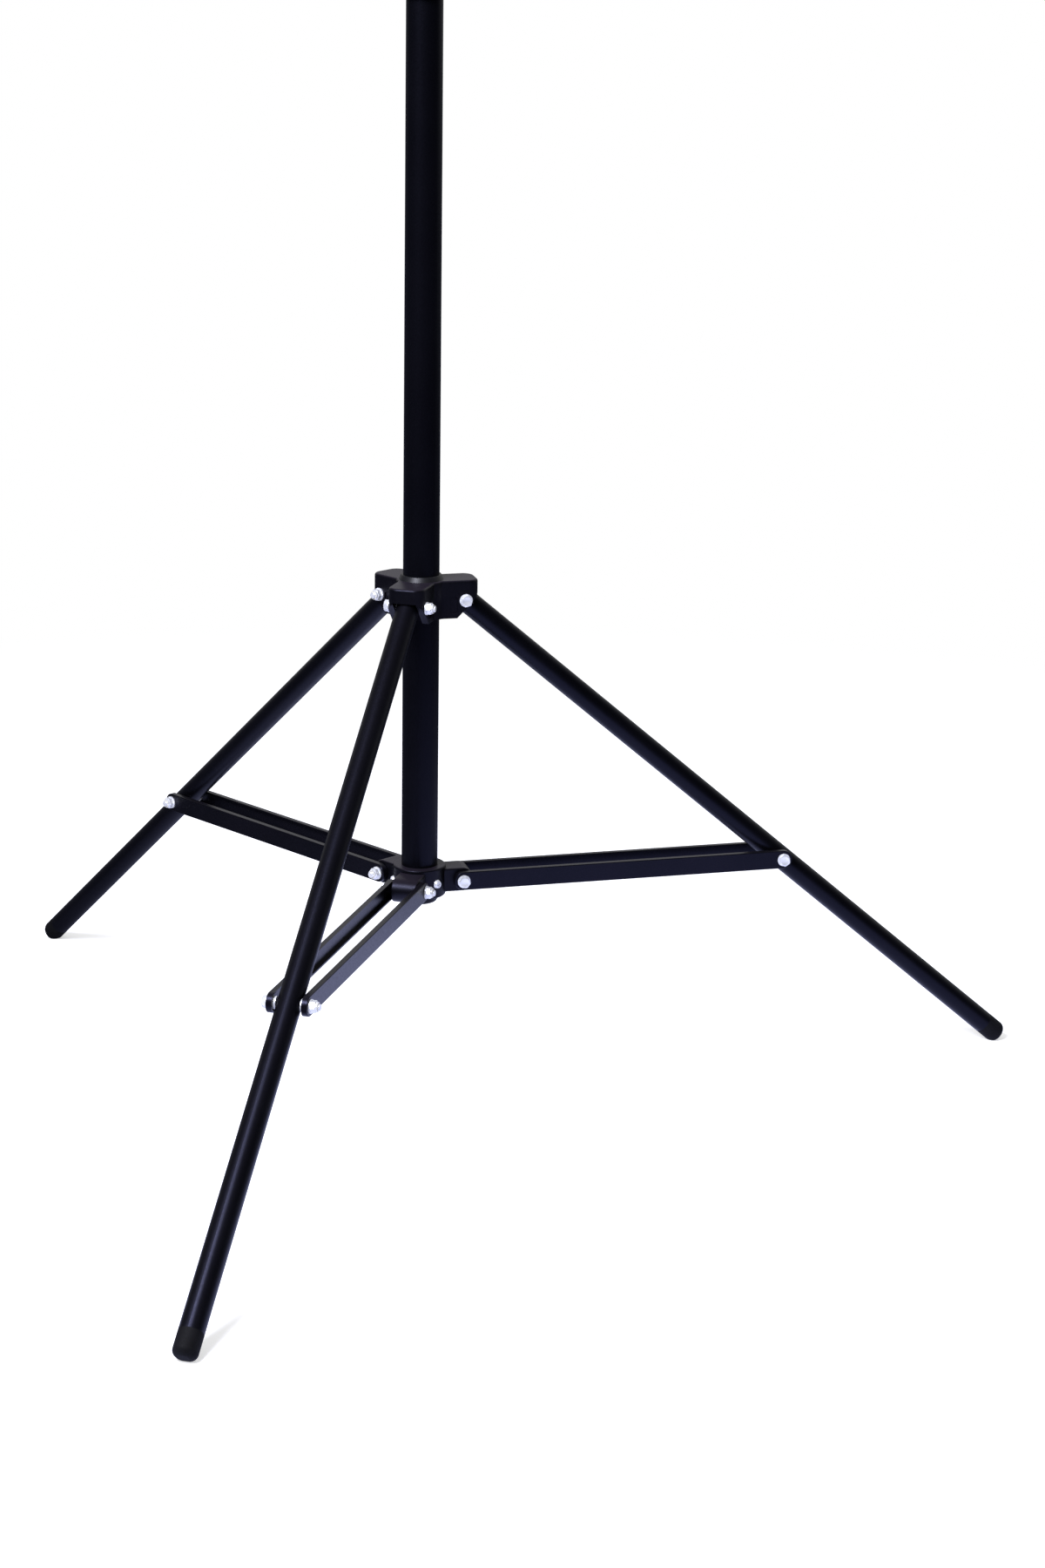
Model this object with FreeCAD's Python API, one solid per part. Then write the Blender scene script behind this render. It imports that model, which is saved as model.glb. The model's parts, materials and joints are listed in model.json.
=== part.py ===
import FreeCAD, Part
import math
import os

# Speaker tripod stand, in millimetres, standing open on the floor.
# Origin: on the floor under the pole's axis. +Z runs up the pole. The front leg points along -Y.
# Each leg, its clevis, its brace pair and its hub lug are modelled in a station frame, with +X
# pointing out from the pole along the leg's plane and +Y across it, and are then turned about
# the pole to the leg's azimuth.

# ---- Stations round the pole, degrees ----
LEG_AZIMUTHS = {"front": -90.0, "right": 30.0, "left": 150.0}
CLAMP_AZIMUTH = 90.0
FIXING_AZIMUTHS = [azimuth + 60.0 for azimuth in LEG_AZIMUTHS.values()]

# ---- Fold linkage ----
LEG_LENGTH = 750.0            # leg pivot to the end of the rubber foot
LEG_SPREAD = 49.6             # leg from vertical with the brace level, degrees
LEG_FOLDED = 2.3              # leg from vertical when folded, degrees
LEG_TO_BRACE = 429.0          # leg pivot to brace bolt, along the leg
POLE_TO_LEG = 11.5            # pole's side to the leg's side at the leg pivot

# ---- Tubes ----
POLE_OD = 35.0
POLE_WALL = 1.5
BUSH_WALL = 0.95              # guide bush between the pole and the mast
MAST_WALL = 1.5
LEG_OD = 22.0
LEG_WALL = 1.2

# ---- Clearances ----
RUNNING = 0.05                # radial, a shaft that turns or slides in its bore
SEAT = 0.02                   # radial, pieces fixed to each other
GAP = 0.3                     # between pieces that move past each other
BOLT_HOLE = 0.1               # radial, a bar turning on its bolt
SLIDE_ROOM = 0.3              # radial, a shoe or stud that slides through a wall

# ---- Leg fittings ----
LEG_ABOVE_PIVOT = 9.0         # top of the leg's plug above the leg pivot
PLUG_HEAD = 1.5
PLUG_DEPTH = 26.0
FOOT_HEAD = 22.0
FOOT_STEM = 26.0
FOOT_CORNER = 6.0             # radius of the foot's round edge
FOOT_FACET = 2.0              # how far the flat sole cuts into that round edge

# ---- Fasteners ----
BOLT_D = 6.0
HEAD_HEIGHT = 4.0
NUT_HEIGHT = 6.0
NUT_COLLAR = 1.6              # height of the nut's round locking collar
STUD_END = 2.0                # thread that stands out of a nut
WASHER_RIM = 3.25             # washer beyond the bolt, all round
WASHER_T = 1.2
THREAD_TIP = 0.8              # height and depth of the bevel at a thread's end
HEX_BEVEL = 0.98              # flat end of a hex head, as a share of its flats
NUT_COLLAR_LOW = 0.94         # locking collar's widths, as shares of the flats
NUT_COLLAR_HIGH = 0.86
SCREW_D = 4.0
SCREW_HEAD_D = 8.6
SCREW_HEAD_H = 2.6
SCREW_HEAD_TOP = 0.72         # top of a screw's head, as a share of its width
SCREW_HEAD_EDGE = 0.3         # edge radius of a screw's head, as a share of its height
RECESS_LENGTH = 4.8           # cross recess in a screw's head
RECESS_WIDTH = 1.2
RECESS_DEPTH = 1.2
SCREW_BITE = 1.0              # screw's tip inside the pole's wall
BURIED = 0.5                  # overlap that joins two shapes of one solid
CORED = 0.72                  # hollow of a moulded plug, as a share of its tube's bore
ROUND_EDGE = 1.2              # radius on bosses, the spigot's flange and the collar's foot
FINE_EDGE = 0.6               # radius on small bushes, shoes and caps

# ---- Yoke ----
YOKE_WALL = 5.0               # round the liner
YOKE_LINER_WALL = 1.5
YOKE_ROOF_ROOM = 0.8          # leg's top corner to the roof's underside, through the swing
YOKE_ROOF_T = 4.5
YOKE_DROP = 17.0              # underside of the ears below the leg pivots
LOBE_END = 2.6                # end of a lobe beyond the leg's side at its pivot
LOBE_CORNER = 11.0            # plan radius of a lobe's corners
EAR_FLAT_IN = 8.5             # start of the ears' 45 degree cut, inside the pivot's radius
EAR_T = 6.4
CLEVIS_SIDE = 0.6             # leg tube to ear, each side
LOBE_ROOT_SHARE = 0.5         # root radius, as a share of the sleeve seen between two lobes
ROOF_EDGE = 2.4
POCKET_IN = 24.5              # shallow pocket in an ear's side: inner and outer radius
POCKET_OUT = 32.0
POCKET_LOW = -12.0
POCKET_HIGH = 4.0
POCKET_DEPTH = 0.9
POCKET_CORNER = 2.0
NECK_HEIGHT = 4.5
NECK_WALL = 4.0               # liner's neck at its foot and at its top, round the pole
NECK_TOP_WALL = 1.8

# ---- Brace bars: shallow pressed trays with round ends, open towards the leg ----
BAR_HEIGHT = 18.0
BAR_DEPTH = 5.5
BAR_WALL = 1.5
BAR_OFF_LEG = 2.5             # bar's open edge to the leg's side
BAR_EDGE = 0.7
SPACER_RIM = 2.75             # spacer beyond the bolt, all round

# ---- Hub ----
HUB_WALL = 8.0
HUB_ABOVE = 15.0              # sleeve above and below the brace pivots
HUB_BELOW = 14.5
LUG_SIDE = 0.6                # lug's side to the bar's open edge
LUG_RADIUS = 11.5
BOSS_RIM = 3.0                # lug's boss beyond the bolt, all round
HUB_EDGE = 1.6
POLE_BELOW_HUB = 4.0
END_PLUG_RIM = 3.0
END_PLUG_ROOM = 2.0           # end plug to the hub's screws

# ---- Lock collar and guide ----
BARE_POLE = 72.0              # between the folded yoke and the lock collar
COLLAR_WALL = 7.0
COLLAR_HEIGHT = 66.0
COLLAR_LIP = 5.0              # lip over the pole's end
CLAMP_UNDER_RING = 2.0        # clamp's boss to the pin's hanging ring
COLLAR_SCREW_HEIGHT = 14.0
COLLAR_EDGE = 3.0
COLLAR_WAIST_WALL = 5.0
BUSH_LENGTH = 100.0

# ---- Mast ----
MAST_OVER_HUB = 23.0          # underside of the mast, pushed right down, above the hub
GLIDE_LENGTH = 80.0
GLIDE_STEP = 3.0
PIN_D = 6.0
PIN_HOLE_ROOM = 0.3           # radial
PIN_HOLE_PITCH = 100.0
PIN_HOLES = 7

# ---- Speaker spigot ----
SPIGOT_WALL = 2.5             # sleeve that takes the mast up to the speaker's socket size
SPIGOT_LENGTH = 90.0
SPIGOT_ABOVE_COLLAR = 24.0
SPIGOT_FLANGE_RIM = 5.5
SPIGOT_FLANGE_T = 4.0
SPIGOT_CAP_T = 3.0
SPIGOT_CAP_STEM = 20.0

# ---- Safety pin ----
PIN_TAIL = 4.0                # pin beyond the mast
PIN_EYE_OUT = 5.5             # collar's side to the centre of the eye's hole
PIN_EYE_D = 10.5
PIN_EYE_T = 5.0
PIN_EYE_HOLE_D = 4.2
RING_RADIUS = 10.5
RING_WIRE_D = 2.4
RING_PLAY = 0.3               # ring's wire above the middle of the eye's hole

# ---- Clamps: a knob drives a stud and shoe through a threaded insert ----
STUD_D = 8.0
INSERT_D = 13.0
SHOE_D = 11.0
SHOE_LENGTH = 4.0
SHOE_CONTACT = 0.1            # shoe to the tube it clamps
STUD_SOCKET = 1.5             # stud's tip inside the shoe
CLAMP_BOSS_D = 20.0
CLAMP_CAVITY = 7.5            # room for the shoe, from the casting's bore outwards
CLAMP_BOSS_REACH = 15.5       # boss end from the casting's bore
KNOB_STANDOFF = 2.2
STUD_IN_KNOB = 10.0
YOKE_CLAMP_DROP = 5.0         # clamp axis below the leg pivots
YOKE_KNOB_D = 26.0
YOKE_KNOB_LENGTH = 17.0
COLLAR_KNOB_D = 44.0
COLLAR_KNOB_LENGTH = 24.0
KNOB_LOBES = 5
KNOB_NECK_LENGTH = 5.0
KNOB_NECK_D = 16.0
KNOB_FLUTE = 0.19             # radius of a knob's flutes, as a share of its diameter
KNOB_FLUTE_OUT = 0.55         # flute's centre outside the knob, as a share of that radius
KNOB_EDGE = 0.045             # edge radius, as a share of the diameter
KNOB_DISH = 0.5               # dish in the knob's face, as a share of the diameter
KNOB_DISH_DEPTH = 1.2

# ---- Worked out from the sizes above ----
SPREAD = math.radians(LEG_SPREAD)
POLE_ID = POLE_OD - 2 * POLE_WALL
MAST_OD = POLE_ID - 2 * BUSH_WALL - 2 * RUNNING
MAST_ID = MAST_OD - 2 * MAST_WALL
LEG_ID = LEG_OD - 2 * LEG_WALL
SPIGOT_D = MAST_OD + 2 * SPIGOT_WALL
SPIGOT_FLANGE_D = SPIGOT_D + 2 * SPIGOT_FLANGE_RIM
PIVOT_RADIUS = POLE_OD / 2 + POLE_TO_LEG + LEG_OD / 2
HEX_FLATS = 5 / 3 * BOLT_D
WASHER_D = BOLT_D + 2 * WASHER_RIM
SPACER_D = BOLT_D + 2 * SPACER_RIM
BOSS_D = BOLT_D + 2 * BOSS_RIM
FOOT_FLAT_RADIUS = LEG_OD / 2 - FOOT_CORNER
YOKE_PIVOT_Z = (
    (LEG_LENGTH - FOOT_CORNER) * math.cos(SPREAD)
    + FOOT_FLAT_RADIUS * math.sin(SPREAD)
    + FOOT_CORNER
    - FOOT_FACET
)
BRACE_LENGTH = LEG_TO_BRACE * math.sin(SPREAD)
HUB_PIVOT_Z = YOKE_PIVOT_Z - LEG_TO_BRACE * math.cos(SPREAD)
FOLDED = math.radians(LEG_FOLDED)
BRACE_FOLDED = math.acos(LEG_TO_BRACE * math.sin(FOLDED) / BRACE_LENGTH)
FOLD_TRAVEL = (
    LEG_TO_BRACE * math.cos(FOLDED)
    + BRACE_LENGTH * math.sin(BRACE_FOLDED)
    - LEG_TO_BRACE * math.cos(SPREAD)
)
SLOT_HALF = LEG_OD / 2 + CLEVIS_SIDE
LOBE_HALF = SLOT_HALF + EAR_T
YOKE_BORE = POLE_OD + 2 * RUNNING + 2 * YOKE_LINER_WALL
YOKE_SLEEVE_D = YOKE_BORE + 2 * YOKE_WALL
YOKE_ROOF = math.hypot(LEG_ABOVE_PIVOT, LEG_OD / 2) + YOKE_ROOF_ROOM + YOKE_ROOF_T
YOKE_REACH = PIVOT_RADIUS + LEG_OD / 2 + LOBE_END
EAR_FLAT = PIVOT_RADIUS - EAR_FLAT_IN
BETWEEN_LOBES = YOKE_SLEEVE_D * math.sin(
    math.radians(60) - math.asin(2 * LOBE_HALF / YOKE_SLEEVE_D)
)
NECK_D = POLE_OD + 2 * NECK_WALL
NECK_TOP_D = POLE_OD + 2 * NECK_TOP_WALL
YOKE_TOP_Z = YOKE_PIVOT_Z + YOKE_ROOF + NECK_HEIGHT
BAR_MOUTH = LEG_OD / 2 + BAR_OFF_LEG
BAR_FACE = BAR_MOUTH + BAR_DEPTH
BAR_INSIDE = BAR_FACE - BAR_WALL
LUG_HALF = BAR_MOUTH - LUG_SIDE
HUB_SLEEVE_D = POLE_OD + 2 * HUB_WALL
POLE_BOTTOM = HUB_PIVOT_Z - HUB_BELOW - POLE_BELOW_HUB
END_PLUG_DEPTH = HUB_BELOW + POLE_BELOW_HUB - SCREW_D / 2 - END_PLUG_ROOM
MAST_FOOT = HUB_PIVOT_Z + HUB_ABOVE + MAST_OVER_HUB
COLLAR_Z = YOKE_TOP_Z + FOLD_TRAVEL + BARE_POLE
COLLAR_TOP = COLLAR_Z + COLLAR_HEIGHT
POLE_TOP = COLLAR_TOP - COLLAR_LIP
COLLAR_D = POLE_OD + 2 * COLLAR_WALL
COLLAR_WAIST_D = POLE_OD + 2 * COLLAR_WAIST_WALL
PIN_EYE_RADIUS = COLLAR_D / 2 + PIN_EYE_OUT
PIN_Z = COLLAR_TOP + PIN_D / 2 + GAP
RING_Z = PIN_Z - RING_RADIUS + RING_PLAY
COLLAR_CLAMP_Z = (
    RING_Z - RING_RADIUS - RING_WIRE_D / 2 - CLAMP_UNDER_RING - CLAMP_BOSS_D / 2
)
YOKE_CLAMP_Z = YOKE_PIVOT_Z - YOKE_CLAMP_DROP
MAST_BORE = MAST_OD + 2 * RUNNING
PIN_HOLE_D = PIN_D + 2 * PIN_HOLE_ROOM
SPIGOT_Z = COLLAR_TOP + SPIGOT_ABOVE_COLLAR
SPIGOT_TOP = SPIGOT_Z + SPIGOT_FLANGE_T + SPIGOT_LENGTH
SHOE_HOLE_D = SHOE_D + 2 * SLIDE_ROOM

X_AXIS = FreeCAD.Vector(1, 0, 0)
Y_AXIS = FreeCAD.Vector(0, 1, 0)
Z_AXIS = FreeCAD.Vector(0, 0, 1)


# ---- Basic shapes ----
def rod(diameter, low, high, axis=Z_AXIS, centre=(0, 0, 0)):
    """A round bar along an axis, from low to high along it, measured from the centre."""
    start = FreeCAD.Vector(*centre) + axis * low
    return Part.makeCylinder(diameter / 2, high - low, start, axis)


def pipe(outer, inner, low, high, axis=Z_AXIS, centre=(0, 0, 0)):
    """A round tube along an axis."""
    return rod(outer, low, high, axis, centre).cut(rod(inner, low - 1, high + 1, axis, centre))


def cone(low_d, high_d, low, high, axis=Z_AXIS, centre=(0, 0, 0)):
    """A frustum along an axis."""
    start = FreeCAD.Vector(*centre) + axis * low
    return Part.makeCone(low_d / 2, high_d / 2, high - low, start, axis)


def block(x, y, z):
    """A box between the two values given for each axis."""
    return Part.makeBox(x[1] - x[0], y[1] - y[0], z[1] - z[0], FreeCAD.Vector(x[0], y[0], z[0]))


def slab(outline, y_low, y_high):
    """An outline of (x, z) points, carried across the station from y_low to y_high."""
    points = [FreeCAD.Vector(x, y_low, z) for x, z in outline]
    face = Part.Face(Part.makePolygon(points + points[:1]))
    return face.extrude(Y_AXIS * (y_high - y_low))


def obround(length, radius, y_low, y_high):
    """A round-ended bar along X across the station, with its end centres at 0 and length."""
    left = Part.makeLine((0, y_low, radius), (length, y_low, radius))
    right = Part.makeLine((length, y_low, -radius), (0, y_low, -radius))
    far_end = Part.Arc(
        FreeCAD.Vector(length, y_low, radius),
        FreeCAD.Vector(length + radius, y_low, 0),
        FreeCAD.Vector(length, y_low, -radius),
    ).toShape()
    near_end = Part.Arc(
        FreeCAD.Vector(0, y_low, -radius),
        FreeCAD.Vector(-radius, y_low, 0),
        FreeCAD.Vector(0, y_low, radius),
    ).toShape()
    face = Part.Face(Part.Wire([left, far_end, right, near_end]))
    return face.extrude(Y_AXIS * (y_high - y_low))


def union(shapes):
    """One solid from several, with the seams between them removed."""
    return shapes[0].fuse(shapes[1:]).removeSplitter()


def rounded(solid, radius, wanted):
    """The solid with a radius on each edge for which wanted(edge) is true."""
    return solid.makeFillet(radius, [edge for edge in solid.Edges if wanted(edge)])


def at_height(z):
    """A test for edges that lie at one height."""
    return lambda edge: (
        abs(edge.BoundBox.ZMin - z) < 1e-4 and abs(edge.BoundBox.ZMax - z) < 1e-4
    )


def outside(radius):
    """A test for edges that have a point farther than radius from the Z axis."""
    return lambda edge: any(
        math.hypot(vertex.X, vertex.Y) > radius for vertex in edge.Vertexes
    )


# ---- Placing ----
def turned(shape, azimuth):
    """A copy of a station's shape, turned about the pole to an azimuth."""
    copy = shape.copy()
    copy.rotate(FreeCAD.Vector(0, 0, 0), Z_AXIS, azimuth)
    return copy


def at_every_leg(shape):
    """A group of copies, one at each leg's azimuth."""
    return Part.makeCompound([turned(shape, azimuth) for azimuth in LEG_AZIMUTHS.values()])


def along_leg(shape):
    """Turns a shape made hanging down from its pivot at the origin to the leg's spread."""
    copy = shape.copy()
    copy.rotate(FreeCAD.Vector(0, 0, 0), Y_AXIS, -LEG_SPREAD)
    copy.translate(FreeCAD.Vector(PIVOT_RADIUS, 0, YOKE_PIVOT_Z))
    return copy


def save(node, shape):
    """Writes one node."""
    shape.exportStep(os.path.join("parts", node + ".step"))


# ---- Fasteners, across the station at a point (x, z) ----
def hexagon(flats, low, high, centre, chamfered_end):
    """A hexagonal prism along Y with the corners of one end turned off at 30 degrees."""
    corner = flats / math.sqrt(3)
    points = [
        FreeCAD.Vector(
            centre[0] + corner * math.cos(math.radians(60 * step)),
            low,
            centre[2] + corner * math.sin(math.radians(60 * step)),
        )
        for step in range(7)
    ]
    prism = Part.Face(Part.makePolygon(points)).extrude(Y_AXIS * (high - low))
    height = high - low
    face_radius = flats / 2 * HEX_BEVEL
    base_radius = face_radius + height * math.tan(math.radians(90 - 30))
    if chamfered_end == "low":
        start = FreeCAD.Vector(centre[0], low, centre[2])
        turning = Part.makeCone(face_radius, base_radius, height, start, Y_AXIS)
    else:
        start = FreeCAD.Vector(centre[0], high, centre[2])
        turning = Part.makeCone(face_radius, base_radius, height, start, Y_AXIS * -1)
    return prism.common(turning)


def cross_bolt(centre, grip):
    """A hex bolt across the station: head on the -Y side, thread end on the +Y side."""
    seat = grip + WASHER_T
    head = hexagon(HEX_FLATS, -seat - HEAD_HEIGHT, -seat, centre, "low")
    shank_end = seat + NUT_HEIGHT + STUD_END
    bevel = shank_end - THREAD_TIP
    shank = rod(BOLT_D, -seat - BURIED, bevel, Y_AXIS, centre)
    tip = cone(BOLT_D, BOLT_D - 2 * THREAD_TIP, bevel, shank_end, Y_AXIS, centre)
    return union([head, shank, tip])


def cross_nut(centre, grip):
    """A locking nut on the washer, with its round collar outwards."""
    low = grip + WASHER_T
    hex_top = low + NUT_HEIGHT - NUT_COLLAR
    body = hexagon(HEX_FLATS, low, hex_top, centre, "high")
    collar = cone(
        HEX_FLATS * NUT_COLLAR_LOW,
        HEX_FLATS * NUT_COLLAR_HIGH,
        hex_top,
        low + NUT_HEIGHT,
        Y_AXIS,
        centre,
    )
    bore = rod(BOLT_D + 2 * SEAT, low - 1, low + NUT_HEIGHT + 1, Y_AXIS, centre)
    return union([body, collar]).cut(bore)


def cross_washers(centre, grip):
    """The two washers of a bolt."""
    inner = BOLT_D + 2 * BOLT_HOLE
    return [
        pipe(WASHER_D, inner, grip, grip + WASHER_T, Y_AXIS, centre),
        pipe(WASHER_D, inner, -grip - WASHER_T, -grip, Y_AXIS, centre),
    ]


def radial_screw(seat, tip, height):
    """A pan-head screw pointing in at the pole, from the head's seat to the tip."""
    centre = (0, 0, height)
    top = seat + SCREW_HEAD_H
    head = cone(SCREW_HEAD_D, SCREW_HEAD_D * SCREW_HEAD_TOP, seat, top, X_AXIS, centre)
    edge_radius = SCREW_HEAD_H * SCREW_HEAD_EDGE
    head = rounded(head, edge_radius, lambda edge: edge.BoundBox.XMin > top - 1e-3)
    shank = rod(SCREW_D, tip, seat + BURIED, X_AXIS, centre)
    depth = (top - RECESS_DEPTH, top + 1)
    wide = RECESS_LENGTH / 2
    narrow = RECESS_WIDTH / 2
    recess = block(depth, (-wide, wide), (height - narrow, height + narrow))
    crossing = block(depth, (-narrow, narrow), (height - wide, height + wide))
    return union([head, shank]).cut(recess.fuse(crossing))


# ---- Pole, hub and plug ----
def pole_tube():
    """The main tube, drilled for the hub's and the collar's screws and for the mast's shoe."""
    tube = pipe(POLE_OD, POLE_ID, POLE_BOTTOM, POLE_TOP)
    drill = SCREW_D + 2 * SEAT
    for azimuth in FIXING_AZIMUTHS:
        for height in (HUB_PIVOT_Z, COLLAR_Z + COLLAR_SCREW_HEIGHT):
            hole = rod(drill, 0, POLE_OD, X_AXIS, (0, 0, height))
            tube = tube.cut(turned(hole, azimuth))
    shoe_hole = rod(SHOE_HOLE_D, 0, POLE_OD, X_AXIS, (0, 0, COLLAR_CLAMP_Z))
    return tube.cut(turned(shoe_hole, CLAMP_AZIMUTH))


def pole_end_plug():
    """A moulded plug in the pole's foot, with a shallow domed cap."""
    stem = rod(POLE_ID - 2 * SEAT, POLE_BOTTOM, POLE_BOTTOM + END_PLUG_DEPTH)
    cap = rod(POLE_OD, POLE_BOTTOM - END_PLUG_RIM, POLE_BOTTOM)
    cap = rounded(cap, END_PLUG_RIM - FINE_EDGE, at_height(POLE_BOTTOM - END_PLUG_RIM))
    hollow = rod(POLE_ID * CORED, POLE_BOTTOM + END_PLUG_RIM, POLE_BOTTOM + END_PLUG_DEPTH + 1)
    return union([stem, cap]).cut(hollow)


def brace_hub():
    """The casting fixed to the pole's foot, with a lug between the bars of each brace."""
    low = HUB_PIVOT_Z - HUB_BELOW
    high = HUB_PIVOT_Z + HUB_ABOVE
    sleeve = rod(HUB_SLEEVE_D, low, high)
    lug_centre = (PIVOT_RADIUS, 0, HUB_PIVOT_Z)
    lug = union([
        rod(2 * LUG_RADIUS, -LUG_HALF, LUG_HALF, Y_AXIS, lug_centre),
        block(
            (0, PIVOT_RADIUS),
            (-LUG_HALF, LUG_HALF),
            (HUB_PIVOT_Z - LUG_RADIUS, HUB_PIVOT_Z + LUG_RADIUS),
        ),
    ])
    lug = rounded(lug, HUB_EDGE, lug_rim)
    boss = rod(BOSS_D, GAP - BAR_INSIDE, BAR_INSIDE - GAP, Y_AXIS, lug_centre)
    lug = lug.fuse(boss)
    hub = union([sleeve] + [turned(lug, azimuth) for azimuth in LEG_AZIMUTHS.values()])
    hub = rounded(hub, HUB_EDGE, lambda edge: at_height(low)(edge) or at_height(high)(edge))
    bolt_hole = rod(BOLT_D + 2 * SEAT, -BAR_FACE, BAR_FACE, Y_AXIS, lug_centre)
    screw_hole = rod(SCREW_D + 2 * SEAT, 0, HUB_SLEEVE_D, X_AXIS, (0, 0, HUB_PIVOT_Z))
    hub = hub.cut(rod(POLE_OD + 2 * SEAT, low - 1, high + 1))
    for azimuth in LEG_AZIMUTHS.values():
        hub = hub.cut(turned(bolt_hole, azimuth))
    for azimuth in FIXING_AZIMUTHS:
        hub = hub.cut(turned(screw_hole, azimuth))
    return hub


def lug_rim(edge):
    """The edges between a lug's sides and its top, nose and underside."""
    box = edge.BoundBox
    on_side = abs(abs(box.YMin) - LUG_HALF) < 1e-4 and abs(box.YMax - box.YMin) < 1e-4
    return on_side and box.XMax > 1


def hub_screws():
    """The screws that hold the hub to the pole, between the lugs."""
    screw = radial_screw(HUB_SLEEVE_D / 2, POLE_ID / 2 - SCREW_BITE, HUB_PIVOT_Z)
    return Part.makeCompound([turned(screw, azimuth) for azimuth in FIXING_AZIMUTHS])


# ---- Yoke and its liner ----
def yoke_lobe():
    """One solid lobe of the yoke: roof, ears and end, before the leg's slot is cut."""
    low = YOKE_PIVOT_Z - YOKE_DROP
    high = YOKE_PIVOT_Z + YOKE_ROOF
    side = slab(
        [
            (0, low),
            (EAR_FLAT, low),
            (YOKE_REACH, low + YOKE_REACH - EAR_FLAT),
            (YOKE_REACH, high),
            (0, high),
        ],
        -LOBE_HALF,
        LOBE_HALF,
    )
    plan = block((0, YOKE_REACH), (-LOBE_HALF, LOBE_HALF), (low - 1, high + 1))
    plan = rounded(
        plan,
        LOBE_CORNER,
        lambda edge: edge.BoundBox.XMin > YOKE_REACH - 1e-4 and edge.BoundBox.ZLength > 5,
    )
    return side.common(plan)


def leg_slot():
    """The clevis space: the leg swings in it, under the roof and past the lobe's end wall."""
    leg_outer = PIVOT_RADIUS + LEG_OD / 2
    wall_inner = leg_outer + GAP
    wall_offset = wall_inner - PIVOT_RADIUS
    leg_top_line = (LEG_OD / 2 - wall_offset * math.cos(SPREAD)) / math.sin(SPREAD)
    low = YOKE_PIVOT_Z - YOKE_DROP - 1
    under_roof = YOKE_PIVOT_Z + YOKE_ROOF - YOKE_ROOF_T
    swing = block((0, wall_inner), (-SLOT_HALF, SLOT_HALF), (low, under_roof))
    mouth = block(
        (wall_inner - 1, YOKE_REACH + 1),
        (-SLOT_HALF, SLOT_HALF),
        (low, YOKE_PIVOT_Z + leg_top_line + 2 * GAP),
    )
    return swing.fuse(mouth)


def ear_pockets():
    """The shallow pockets in the outer faces of a lobe's two ears."""
    pockets = []
    for side in (-1, 1):
        face = side * LOBE_HALF
        floor = side * (LOBE_HALF - POCKET_DEPTH)
        pocket = block(
            (POCKET_IN, POCKET_OUT),
            (min(floor, face), max(floor, face)),
            (YOKE_PIVOT_Z + POCKET_LOW, YOKE_PIVOT_Z + POCKET_HIGH),
        )
        pocket = rounded(pocket, POCKET_CORNER, lambda edge: edge.BoundBox.YLength > POCKET_DEPTH / 2)
        pockets.append(pocket)
    return pockets[0].fuse(pockets[1])


def clamp_boss(bore_radius, height):
    """The solid boss that carries a clamp's insert, along +X."""
    boss = rod(CLAMP_BOSS_D, 0, bore_radius + CLAMP_BOSS_REACH, X_AXIS, (0, 0, height))
    end = bore_radius + CLAMP_BOSS_REACH
    return rounded(boss, ROUND_EDGE, lambda edge: edge.BoundBox.XMin > end - 1e-3)


def clamp_bores(bore_radius, height):
    """The cavity for the shoe and the seat of the insert inside a boss."""
    cavity = rod(SHOE_HOLE_D, 0, bore_radius + CLAMP_CAVITY, X_AXIS, (0, 0, height))
    seat = rod(
        INSERT_D + 2 * SEAT,
        bore_radius + CLAMP_CAVITY,
        bore_radius + CLAMP_BOSS_REACH + 1,
        X_AXIS,
        (0, 0, height),
    )
    return cavity.fuse(seat)


def leg_yoke():
    """The sliding casting: sleeve, three lobes with clevises, and the clamp's boss."""
    low = YOKE_PIVOT_Z - YOKE_DROP
    high = YOKE_PIVOT_Z + YOKE_ROOF
    lobe = yoke_lobe()
    sleeve = rod(YOKE_SLEEVE_D, low, high)
    azimuths = LEG_AZIMUTHS.values()
    body = union([sleeve] + [turned(lobe, azimuth) for azimuth in azimuths])
    body = rounded(body, LOBE_ROOT_SHARE * BETWEEN_LOBES, lobe_root)
    body = rounded(body, ROOF_EDGE, at_height(high))
    slots = [turned(leg_slot().cut(sleeve), azimuth) for azimuth in azimuths]
    pockets = [turned(ear_pockets(), azimuth) for azimuth in azimuths]
    for cutter in slots + pockets:
        body = body.cut(cutter)
    boss = turned(clamp_boss(YOKE_BORE / 2, YOKE_CLAMP_Z), CLAMP_AZIMUTH)
    body = union([body, boss])
    bolt_centre = (PIVOT_RADIUS, 0, YOKE_PIVOT_Z)
    bolt_hole = rod(BOLT_D + 2 * SEAT, -LOBE_HALF - 1, LOBE_HALF + 1, Y_AXIS, bolt_centre)
    for azimuth in azimuths:
        body = body.cut(turned(bolt_hole, azimuth))
    body = body.cut(rod(YOKE_BORE, low - 1, high + 1))
    return body.cut(turned(clamp_bores(YOKE_BORE / 2, YOKE_CLAMP_Z), CLAMP_AZIMUTH))


def lobe_root(edge):
    """The upright edges where a lobe's side meets the sleeve."""
    box = edge.BoundBox
    upright = box.ZLength > YOKE_DROP and box.XLength < 1e-4 and box.YLength < 1e-4
    return upright and abs(math.hypot(box.XMin, box.YMin) - YOKE_SLEEVE_D / 2) < 1e-3


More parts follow.
